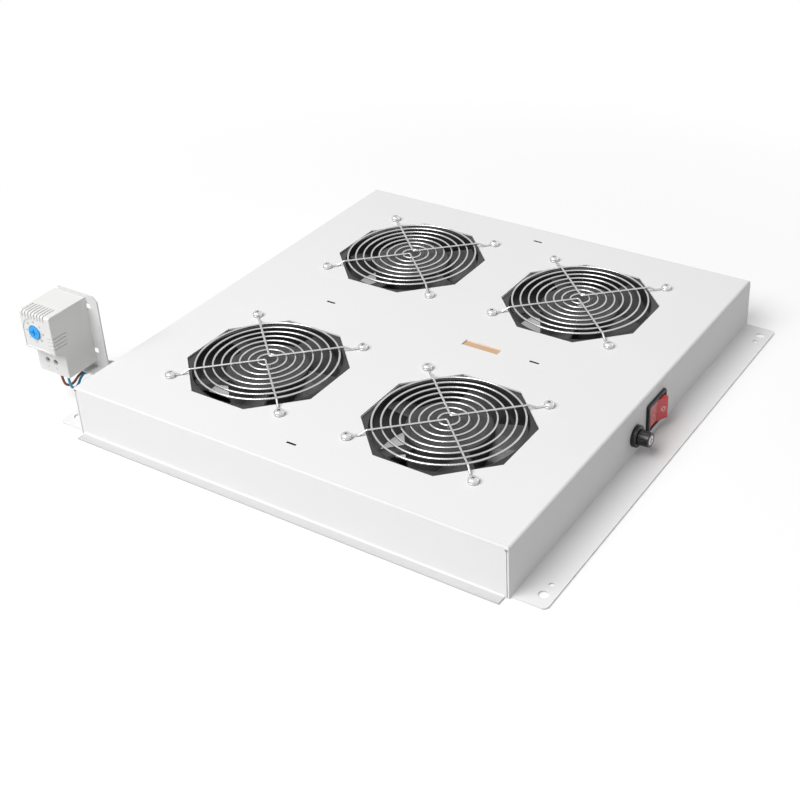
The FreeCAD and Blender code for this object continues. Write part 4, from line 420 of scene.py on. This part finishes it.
finishes = {
    "tray": powder_coat("white_powder_coat", WHITE, SLOT_PLACES),
    "bracket": powder_coat("bracket_powder_coat", colour(222, 222, 222)),
    "frame": cast_black("black_fan_casting", colour(30, 30, 31)),
    "black": moulded("black_moulding", colour(30, 30, 31), 0.34),
    "fuse_black": moulded("fuse_black_moulding", colour(26, 26, 27), 0.3),
    "wire": plated("bright_guard_wire", (0.6, 0.6, 0.6), 0.22),
    "screw": plated("bright_screw_plating", (0.72, 0.72, 0.72), 0.18),
    "zinc": plated("zinc_nut_plating", (0.72, 0.73, 0.75), 0.32),
    "ground": plated("ground_steel", (0.68, 0.68, 0.69), 0.24),
    "board": board_paper("tan_resin_board"),
    "red": red_lens("red_lens"),
    "brass": brass("tinned_brass"),
    "glass": clear_glass("fuse_glass"),
    "stat": moulded("pale_thermostat_moulding", PALE, 0.42, 1100, 0.00003, 0.012),
    "block": moulded("block_white_moulding", colour(226, 225, 220), 0.45),
    "dial": moulded("blue_dial_moulding", colour(40, 164, 236), 0.36, 1200, 0.00002, 0.05),
    "sheath": core_plastic("white_sheath", colour(234, 233, 230), 0.42),
    "brown": core_plastic("brown_core", colour(146, 84, 60)),
    "blue": core_plastic("blue_core", colour(36, 146, 188)),
    "rubber": soft_rubber("black_rubber", colour(26, 26, 26)),
    "nylon": moulded("grey_nylon", colour(150, 151, 152), 0.45),
    "print": moulded("grey_print", colour(92, 93, 96), 0.5),
    "warm_print": moulded("warm_print", colour(236, 160, 160), 0.5),
    "mark": moulded("pale_red_mark", colour(252, 214, 212), 0.35),
}


def dress(finish, *names):
    """Gives CAD nodes a finish, by its name above or as a material."""
    for name in names:
        item = nodes[name]
        item.data.materials.clear()
        item.data.materials.append(finishes.get(finish, finish))


for number, centre in enumerate(FANS, 1):
    dress("frame", "fan_frame_%d" % number)
    dress(hub_face("impeller_%d" % number, centre, colour(62, 62, 63)), "fan_rotor_%d" % number)
    dress(copper_winding("motor_core_%d" % number, centre), "fan_stator_%d" % number)
    dress("ground", "fan_shaft_%d" % number, "fan_bearings_%d" % number)
    dress("wire", "finger_guard_%d" % number)
dress("tray", "tray_shell")
dress("bracket", "thermostat_bracket")
dress("screw", "guard_screws", "bracket_screws", "fuse_cap_insert")
dress("zinc", "fixing_nuts", "board_nuts", "weld_studs", "thermostat_terminal_screws",
      "terminal_clamp_screws", "thermostat_bimetal")
dress("board", "terminal_board")
dress("block", "terminal_block", "cable_clips")
dress("black", "switch_housing", "fan_terminals", "mains_gland", "gland_nut")
dress("red", "switch_rocker", "switch_lamp")
dress("brass", "switch_terminals", "fuse_holder_tags")
dress("fuse_black", "fuse_holder_body", "fuse_holder_nut", "fuse_carrier", "fuse_cap")
dress("glass", "fuse_link")
dress("stat", "thermostat_case", "thermostat_cover", "thermostat_base")
dress("dial", "thermostat_dial")
dress("sheath", "thermostat_cable")
dress("brown", "wire_brown")
dress("blue", "wire_blue")
dress("rubber", "cable_grommet")


# ---------------------------------------------------------------- pieces


def finish_mesh(name, shape, finish, body, slot, *replaced):
    """Closes a bmesh into a piece that rides on a body and stands for these nodes."""
    bmesh.ops.remove_doubles(shape, verts=shape.verts, dist=WELD_GAP * MM)
    bmesh.ops.recalc_face_normals(shape, faces=shape.faces)
    mesh = bpy.data.meshes.new(name)
    shape.to_mesh(mesh)
    shape.free()
    return finish_piece(name, mesh, finish, body, slot, *replaced)


def finish_piece(name, data, finish, body, slot, *replaced):
    """Puts a mesh or curve in the scene with its finish and body, and hides the nodes it stands
    for. The slot is not used.
    """
    data.materials.clear()
    data.materials.append(finishes[finish])
    piece = bpy.data.objects.new(name, data)
    bpy.context.scene.collection.objects.link(piece)
    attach(piece, body)
    if replaced:
        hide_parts(*replaced)
    return piece


def smooth(piece, sharp=40):
    """Smooth shading, with the edges past an angle in degrees kept sharp."""
    piece.data.shade_smooth()
    piece.data.set_sharp_from_angle(angle=math.radians(sharp))
    return piece


def only(items, kind):
    return [item for item in items if isinstance(item, kind)]


def frame_at(place, normal, across):
    """Turns a shape's own axes so that Z is the normal and X runs across, at a place in mm."""
    up = Vector(normal).normalized()
    side = Vector(across).normalized()
    third = up.cross(side)
    turn = Matrix((side, third, up)).transposed().to_4x4()
    return Matrix.Translation(Vector(place) * MM) @ turn


def turned_shape(shape, profile, steps=32, matrix=Matrix()):
    """Spins a profile of (radius, height) points in mm round the Z axis."""
    points = [shape.verts.new(Vector((radius, 0, height)) * MM) for radius, height in profile]
    edges = [shape.edges.new(pair) for pair in zip(points, points[1:])]
    bmesh.ops.spin(shape, geom=points + edges, cent=(0, 0, 0), axis=(0, 0, 1), dvec=(0, 0, 0),
                   angle=math.tau, steps=steps, use_merge=True)
    made = [v for v in shape.verts if v.is_valid and not v.tag]
    bmesh.ops.remove_doubles(shape, verts=made, dist=WELD_GAP * MM)
    made = [v for v in shape.verts if not v.tag]
    bmesh.ops.transform(shape, matrix=matrix, verts=made)
    for vert in made:
        vert.tag = True
    return shape


class BentWire:
    """A round wire laid down as a former bends it: straight runs with arcs between them."""

    def __init__(self, shape, radius, sides=10):
        self.shape = shape
        self.radius = radius * MM
        self.sides = sides

    def start(self, place, heading):
        self.place = Vector(place)
        self.heading = Vector(heading).normalized()
        turn = self.heading.to_track_quat("Z", "Y").to_matrix().to_4x4()
        made = bmesh.ops.create_circle(self.shape, cap_ends=True, radius=self.radius,
                                       segments=self.sides,
                                       matrix=Matrix.Translation(self.place) @ turn)
        self.rim = list({edge for vert in made["verts"] for edge in vert.link_edges})

    def run(self, length):
        if length <= 0:
            return
        made = bmesh.ops.extrude_edge_only(self.shape, edges=self.rim)["geom"]
        moved = only(made, bmesh.types.BMVert)
        step = self.heading * length
        bmesh.ops.translate(self.shape, vec=step, verts=moved)
        ring = set(moved)
        self.rim = [e for e in only(made, bmesh.types.BMEdge) if set(e.verts) <= ring]
        self.place = self.place + step

    def bend(self, side, reach, angle, steps=5):
        """An arc that turns the heading towards side, which is square to it."""
        centre = self.place + side * reach
        axis = self.heading.cross(side)
        made = bmesh.ops.spin(self.shape, geom=self.rim, cent=centre, axis=axis, dvec=(0, 0, 0),
                              angle=angle, steps=steps)["geom_last"]
        self.rim = only(made, bmesh.types.BMEdge)
        turn = Matrix.Rotation(angle, 3, axis)
        self.place = centre + turn @ (self.place - centre)
        self.heading = (turn @ self.heading).normalized()

    def follow(self, points, reach):
        """Runs along the points in mm, with an arc of this middle radius at each corner."""
        points = [Vector(point) * MM for point in points]
        reach = reach * MM
        self.start(points[0], points[1] - points[0])
        for here, after in zip(points[1:], points[2:]):
            leaving = (after - here).normalized()
            angle = self.heading.angle(leaving)
            trim = reach * math.tan(angle / 2)
            self.run((here - self.place).length - trim)
            side = (leaving - self.heading * leaving.dot(self.heading)).normalized()
            self.bend(side, reach, angle)
        self.run((points[-1] - self.place).length)
        bmesh.ops.holes_fill(self.shape, edges=self.rim)

    def ring(self, radius, place, steps):
        """A closed ring round Z about a place in mm."""
        middle = Vector(place) * MM
        start = Matrix.Translation(middle + Vector((radius * MM, 0, 0)))
        upright = Matrix.Rotation(math.pi / 2, 4, "X")
        made = bmesh.ops.create_circle(self.shape, radius=self.radius, segments=self.sides,
                                       matrix=start @ upright)["verts"]
        edges = list({edge for vert in made for edge in vert.link_edges})
        bmesh.ops.spin(self.shape, geom=edges, cent=middle, axis=(0, 0, 1), dvec=(0, 0, 0),
                       angle=math.tau, steps=steps, use_merge=True)


def make_guards():
    """Eight welded rings under two V-shaped wires, whose ends step down to four eyelets."""
    for number, (x, y) in enumerate(FANS, 1):
        shape = bmesh.new()
        wire = BentWire(shape, WIRE)
        for i in range(RING_COUNT):
            wire.ring(RING_FIRST + RING_PITCH * i, (x, y, RING_LEVEL), 40 + 12 * i)
        for side_x in (1, -1):
            for side_y in (1, -1):
                wire.ring(EYELET, (x + side_x * CORNER, y + side_y * CORNER, TOP + WIRE), 24)
        for side in (1, -1):
            half = []
            for turn in (1, -1):
                arm = Vector((side, turn, 0)).normalized()
                stop = Vector((x + side * CORNER, y + turn * CORNER, TOP + WIRE)) - arm * EYELET
                foot = stop - arm * FOOT
                step = Vector((x, y, SPOKE_LEVEL)) + arm * STEP_REACH
                half.append([stop, foot, step])
            middle = Vector((x + side * SPOKE_OFFSET, y, SPOKE_LEVEL))
            wire.follow(half[0] + [middle] + half[1][::-1], SPOKE_BEND)
        guard = finish_mesh("guard_wires_%d" % number, shape, "wire", "chassis", "plated_wire",
                            "finger_guard_%d" % number)
        smooth(guard, 60)


def carved(mesh, cutter):
    """The mesh with the cutter's mesh taken out of it."""
    whole = bpy.data.objects.new("whole", mesh)
    tool = bpy.data.objects.new("tool", cutter)
    for item in (whole, tool):
        bpy.context.scene.collection.objects.link(item)
    cut = whole.modifiers.new("cut", "BOOLEAN")
    cut.operation = "DIFFERENCE"
    cut.solver = "EXACT"
    cut.object = tool
    scene_now = bpy.context.evaluated_depsgraph_get()
    result = bpy.data.meshes.new_from_object(whole.evaluated_get(scene_now))
    for item in (whole, tool):
        bpy.data.objects.remove(item)
    return result


def mesh_of(shape):
    """Turns a bmesh into a mesh for further work."""
    bmesh.ops.recalc_face_normals(shape, faces=shape.faces)
    mesh = bpy.data.meshes.new("work")
    shape.to_mesh(mesh)
    shape.free()
    return mesh


def screw_mesh(length):
    """Pan-head screw, seat at height 0: domed head with a cross recess, rolled thread below."""
    head = bmesh.new()
    dome = [(0, HEAD_HEIGHT), (1.2, 2.56), (2.2, 2.42), (3.0, 2.12), (3.6, 1.62)]
    dome += [(3.93, 0.95), (4, 0.4)]
    dome += [(3.9, 0.08), (3.75, 0), (2, 0)]
    thread = []
    turns = int((length - 1) / THREAD_PITCH)
    for i in range(turns):
        low = -0.5 - i * THREAD_PITCH
        thread += [(1.68, low), (1.98, low - THREAD_PITCH * 0.5)]
    end = thread[-1][1]
    turned_shape(head, dome + thread + [(1.6, end - 0.4), (1.2, -length), (0, -length)], 28)
    mesh = mesh_of(head)
    for turn in (0, 90):
        arm = bmesh.new()
        made = bmesh.ops.create_cube(arm, size=1)["verts"]
        bmesh.ops.scale(arm, vec=Vector(RECESS_ARM) * MM, verts=made)
        bmesh.ops.translate(arm, vec=Vector((0, 0, HEAD_HEIGHT)) * MM, verts=made)
        floor = [vert for vert in made if vert.co.z < HEAD_HEIGHT * MM]
        bmesh.ops.scale(arm, vec=(0.5, 0.7, 1), verts=floor)
        bmesh.ops.rotate(arm, matrix=Matrix.Rotation(math.radians(turn), 3, "Z"), verts=made)
        mesh = carved(mesh, mesh_of(arm))
    return mesh


def make_screws():
    """The guards' sixteen screws and the bracket's two, each turned its own way."""
    screw = screw_mesh(11)
    shape = bmesh.new()
    count = 0
    for x, y in FANS:
        for side_x in (1, -1):
            for side_y in (1, -1):
                count += 1
                seat = (x + side_x * CORNER, y + side_y * CORNER, TOP + 2 * WIRE)
                turn = math.radians(37 * count)
                place = frame_at(seat, (0, 0, 1), (math.cos(turn), math.sin(turn), 0))
                add_mesh(shape, screw, place)
    smooth(finish_mesh("guard_pan_screws", shape, "screw", "chassis", "zinc_steel",
                       "guard_screws"))
    screw = screw_mesh(8)
    shape = bmesh.new()
    for x, turn in ((-155.5, 20), (-146.5, 65)):
        turn = math.radians(turn)
        seat = (x, BRACKET_FACE, BRACKET_SCREW_Z)
        add_mesh(shape, screw, frame_at(seat, (0, 1, 0), (math.cos(turn), 0, math.sin(turn))))
    smooth(finish_mesh("bracket_pan_screws", shape, "screw", "chassis", "zinc_steel",
                       "bracket_screws"))


def add_mesh(shape, mesh, place):
    """Adds a copy of a mesh at a place to a bmesh."""
    before = set(shape.verts)
    shape.from_mesh(mesh)
    made = [vert for vert in shape.verts if vert not in before]
    bmesh.ops.transform(shape, matrix=place, verts=made)


def make_cord(name, routes, radius, finish, slot, *replaced):
    """A flexible lead, with a smooth curve through the points of each of its routes."""
    curve = bpy.data.curves.new(name, "CURVE")
    curve.dimensions = "3D"
    curve.bevel_depth = radius * MM
    curve.bevel_resolution = 5
    curve.use_fill_caps = True
    curve.resolution_u = 10
    for route in routes:
        line = curve.splines.new("NURBS")
        line.points.add(len(route) - 1)
        for point, place in zip(line.points, route):
            point.co = (*(Vector(place) * MM), 1)
        line.order_u = 3
        line.use_endpoint_u = True
        line.use_smooth = True
    return finish_piece(name, curve, finish, "chassis", slot, *replaced)


# The cable from the thermostat's bracket to the terminal block, and its cores at both ends.
SHEATH_ROUTE = [
    (-154, 229, 18.2),
    (-142, 228.1, 19.5),
    (-131, 218, 16.5),
    (-128, 202, 14.2),
    (-128, 175, 14),
    (-119, 163, 24),
    (-98, 160, 33.5),
    (-62, 160, 36.4),
    (-28, 157, 36.6),
    (-6, 140, 36.2),
    (0, 108, 36.6),
    (0.5, 62, 36),
    (0, 20, 36.6),
    (0, -6, 35.2),
    (0, -28, 33.7),
]
BROWN_ROUTE = [
    (-176.5, 230, 33),
    (-176, 230, 20.8),
    (-172.4, 230.2, 14.9),
    (-165.8, 230.5, 13.2),
    (-158.6, 230.7, 17.7),
    (-153.95, 230.3, 18.2),
]
BLUE_ROUTE = [
    (-176.5, 222.5, 33),
    (-176, 222.7, 20.2),
    (-172.4, 223.6, 14.1),
    (-165.8, 225.8, 12.4),
    (-158.8, 228.1, 17.7),
    (-154.15, 227.7, 18.2),
]
BROWN_TAIL = [
    (-1.2, -28.05, 33.7),
    (-1.2, -31, 33.5),
    (-0.4, -35, 33.6),
    (0, -41, 33.7),
]
BLUE_TAIL = [
    (1.2, -28.05, 33.7),
    (1.3, -31, 33.5),
    (4.6, -35.4, 33.6),
    (5.4, -41, 33.7),
]


def make_leads():
    """The thermostat's cable, held all the way, and the ends of its two cores."""
    make_cord("cable_sheath", [SHEATH_ROUTE], 2.75, "sheath", "white_sheath", "thermostat_cable")
    make_cord("brown_leads", [BROWN_ROUTE, BROWN_TAIL], 1.05, "brown", "brown_core", "wire_brown")
    make_cord("blue_leads", [BLUE_ROUTE, BLUE_TAIL], 1.05, "blue", "blue_core", "wire_blue")


def letter_mesh(text, height, place):
    """Raised figures lying on the XY plane of a place, centred on it."""
    font = bpy.data.curves.new("figures", "FONT")
    font.body = text
    font.size = height * MM
    font.extrude = 0.04 * MM
    font.align_x = "CENTER"
    font.align_y = "CENTER"
    holder = bpy.data.objects.new("figures", font)
    bpy.context.scene.collection.objects.link(holder)
    scene_now = bpy.context.evaluated_depsgraph_get()
    mesh = bpy.data.meshes.new_from_object(holder.evaluated_get(scene_now))
    bpy.data.objects.remove(holder)
    mesh.transform(place)
    return mesh


def on_panel(degrees, reach):
    """A place on the sunk panel, at a turn from the dial's top and a distance from its middle."""
    turn = math.radians(degrees)
    return (DIAL[0] + PANEL_DEPTH, DIAL[1] - reach * math.sin(turn),
            DIAL[2] + reach * math.cos(turn))


def facing(place, across=(0, -1, 0)):
    """A place on the thermostat's front, looking outwards."""
    return frame_at(place, (-1, 0, 0), across)


def make_dial_scale():
    """Tens of degrees round the dial with short strokes between them, and its raised collar."""
    shape = bmesh.new()
    warm = bmesh.new()
    for i in range(7):
        place = on_panel(SCALE_START + 45 * i, FIGURE_REACH)
        shape.from_mesh(letter_mesh(str(i * 10), 1.9, facing(place)))
    shape.from_mesh(letter_mesh("\u00b0C", 1.8, facing(on_panel(180, FIGURE_REACH))))
    for i in range(13):
        degrees = SCALE_START + 22.5 * i
        stroke = warm if i > 5 else shape
        made = bmesh.ops.create_cube(stroke, size=1)["verts"]
        bmesh.ops.scale(stroke, vec=Vector((0.22, 0.9, 0.08)) * MM, verts=made)
        turn = math.radians(degrees)
        place = facing(on_panel(degrees, STROKE_REACH), (0, -math.cos(turn), -math.sin(turn)))
        bmesh.ops.transform(stroke, matrix=place, verts=made)
    for number, y in TERMINALS:
        place = facing((LOWER_FRONT, y, TERMINAL_FIGURE_Z))
        shape.from_mesh(letter_mesh(number, 2.2, place))
    finish_mesh("dial_figures", shape, "print", "chassis", "pale_moulding")
    collar = bmesh.new()
    rim = [(6.0, -0.2), (6.0, 0.3), (6.15, 0.42), (6.45, 0.42), (6.6, 0.3), (6.6, -0.2)]
    turned_shape(collar, rim + rim[:1], 48, facing(on_panel(0, 0)))
    smooth(finish_mesh("dial_collar", collar, "stat", "chassis", "pale_moulding"))
    finish_mesh("dial_warm_strokes", warm, "warm_print", "chassis", "pale_moulding")


def ring_mark(shape):
    """A flat ring lying on the XY plane."""
    start = Matrix.Translation(Vector((1.7, 0, 0)) * MM) @ Matrix.Rotation(math.pi / 2, 4, "X")
    before = set(shape.verts)
    made = bmesh.ops.create_circle(shape, radius=0.3 * MM, segments=8, matrix=start)["verts"]
    edges = list({edge for vert in made for edge in vert.link_edges})
    bmesh.ops.spin(shape, geom=edges, cent=(0, 0, 0), axis=(0, 0, 1), dvec=(0, 0, 0),
                   angle=math.tau, steps=32, use_merge=True)
    made = [vert for vert in shape.verts if vert not in before]
    bmesh.ops.scale(shape, vec=(1, 1, 0.4), verts=made)
    return made


def bar_mark(shape):
    """A short bar lying on the XY plane."""
    made = bmesh.ops.create_cube(shape, size=1)["verts"]
    bmesh.ops.scale(shape, vec=Vector((2.8, 0.6, 0.4)) * MM, verts=made)
    return made


def make_rocker_marks():
    """A ring on the raised half of the rocker and a bar on the pressed half."""
    shape = bmesh.new()
    pivot = Matrix.Translation(Vector(ROCKER_PIVOT) * MM)
    pivot = pivot @ Matrix.Rotation(math.radians(ROCKER_TURN), 4, "Z")
    slope = math.radians(FACET_ANGLE)
    for side, make_mark in ((1, ring_mark), (-1, bar_mark)):
        along = Vector((side * math.cos(slope), -math.sin(slope), 0))
        normal = Vector((-side * math.sin(slope), -math.cos(slope), 0))
        place = Vector((0, -FACET_WAIST, 0)) + along * MARK_REACH + normal * MARK_LIFT
        made = make_mark(shape)
        bmesh.ops.transform(shape, matrix=pivot @ frame_at(place, normal, along), verts=made)
    finish_mesh("rocker_marks", shape, "mark", "rocker", "red_lens")


def soften(name, width, angle=32):
    """Breaks a node's sharp edges: its loose triangles are welded, flattened and bevelled."""
    piece = nodes[name]
    weld = piece.modifiers.new("weld", "WELD")
    weld.merge_threshold = WELD_GAP * MM
    flat = piece.modifiers.new("flat", "DECIMATE")
    flat.decimate_type = "DISSOLVE"
    flat.angle_limit = math.radians(0.5)
    edge = piece.modifiers.new("edges", "BEVEL")
    edge.width = width * MM
    edge.segments = 2
    edge.limit_method = "ANGLE"
    edge.angle_limit = math.radians(angle)
    edge.use_clamp_overlap = True


EDGE_BREAKS = {
    "tray_shell": 0.2,
    "switch_housing": 0.45,
    "thermostat_bracket": 0.2,
    "terminal_block": 0.4,
    "thermostat_case": 0.35,
    "mains_gland": 0.25,
    "gland_nut": 0.25,
    "fuse_holder_body": 0.25,
    "fixing_nuts": 0.25,
    "board_nuts": 0.25,
}
for name, width in EDGE_BREAKS.items():
    soften(name, width)
for number in range(1, len(FANS) + 1):
    soften("fan_frame_%d" % number, 0.4)
make_guards()
make_screws()
make_leads()
make_dial_scale()
make_rocker_marks()


# ---------------------------------------------------------------- floor, light and camera


def seen_directly(tree):
    """1 for rays from the camera, and for those that gloss or glass passes on from it."""
    camera, _, _, glossy, _, _, through = tree.node("ShaderNodeLightPath")[:7]
    return camera.highest(glossy).highest(through)


def make_floor():
    """A pale floor that shows the tray's shadow near it and is plain white farther off."""
    shape = bmesh.new()
    bmesh.ops.create_grid(shape, x_segments=1, y_segments=1, size=FLOOR_HALF)
    bmesh.ops.translate(shape, vec=(0, 0, -0.3 * MM), verts=shape.verts)
    mesh = bpy.data.meshes.new("studio_floor")
    shape.to_mesh(mesh)
    shape.free()
    floor = bpy.data.objects.new("studio_floor", mesh)
    bpy.context.scene.collection.objects.link(floor)
    paint = Paint("studio_floor")
    dull = paint.node("ShaderNodeBsdfDiffuse", None, {"Color": (0.62, 0.62, 0.62)})[0]
    shaded = paint.node("ShaderNodeBsdfDiffuse", None, {"Color": (0.64, 0.64, 0.64)})[0]
    glow = paint.node("ShaderNodeEmission", None, {"Color": (1.0, 1.0, 1.0), "Strength": 0.36})[0]
    near = paint.node("ShaderNodeAddShader", None, {0: shaded, 1: glow})[0]
    white = paint.node("ShaderNodeEmission", None, {"Color": (1.0, 1.0, 1.0), "Strength": 1.0})[0]
    x, y, _ = paint.axes()
    away = paint.spread((x * x + y * y).power(0.5), 0, 1, *SHADOW_REACH)
    bright = paint.node("ShaderNodeMixShader", None, {0: away, 1: near, 2: white})[0]
    values = {0: seen_directly(paint), 1: dull, 2: bright}
    mixed = paint.node("ShaderNodeMixShader", None, values)[0]
    paint.node("ShaderNodeOutputMaterial", None, {"Surface": mixed})
    mesh.materials.append(paint.material)


def make_world():
    """Even light on the object, and white wherever the world itself is seen."""
    world = bpy.data.worlds.new("studio")
    sky = NodeTree(world)
    values = {0: seen_directly(sky), 3: WORLD_LIGHT, 4: 1.0}
    strength = sky.node("ShaderNodeMapRange", None, values)[0]
    backdrop = sky.node("ShaderNodeBackground", None, {0: (1, 1, 1), 1: strength})[0]
    sky.node("ShaderNodeOutputWorld", None, {0: backdrop})
    bpy.context.scene.world = world


def make_softbox(name, place, target, size, power):
    """A square area lamp that looks at a target."""
    light = bpy.data.lights.new(name, "AREA")
    light.shape = "SQUARE"
    light.size = size
    light.energy = power
    lamp = bpy.data.objects.new(name, light)
    lamp.location = place
    lamp.rotation_euler = (Vector(target) - Vector(place)).to_track_quat("-Z", "Y").to_euler()
    bpy.context.scene.collection.objects.link(lamp)


def make_camera():
    """The camera above the near left corner."""
    data = bpy.data.cameras.new("camera")
    data.sensor_width = 36
    data.lens = CAMERA_LENS
    data.shift_x = CAMERA_SHIFT
    data.shift_y = CAMERA_SHIFT
    camera = bpy.data.objects.new("camera", data)
    camera.location = CAMERA_PLACE
    camera.rotation_euler = [math.radians(turn) for turn in CAMERA_TURN]
    bpy.context.scene.collection.objects.link(camera)
    bpy.context.scene.camera = camera


make_floor()
make_world()
make_softbox("key_light", KEY_LIGHT, (0, 0, 0), 2.4, 128)
make_softbox("far_fill", FAR_FILL, (0.1, -0.19, 0.02), 0.9, 2)
make_camera()
bpy.context.scene.view_settings.view_transform = "Standard"
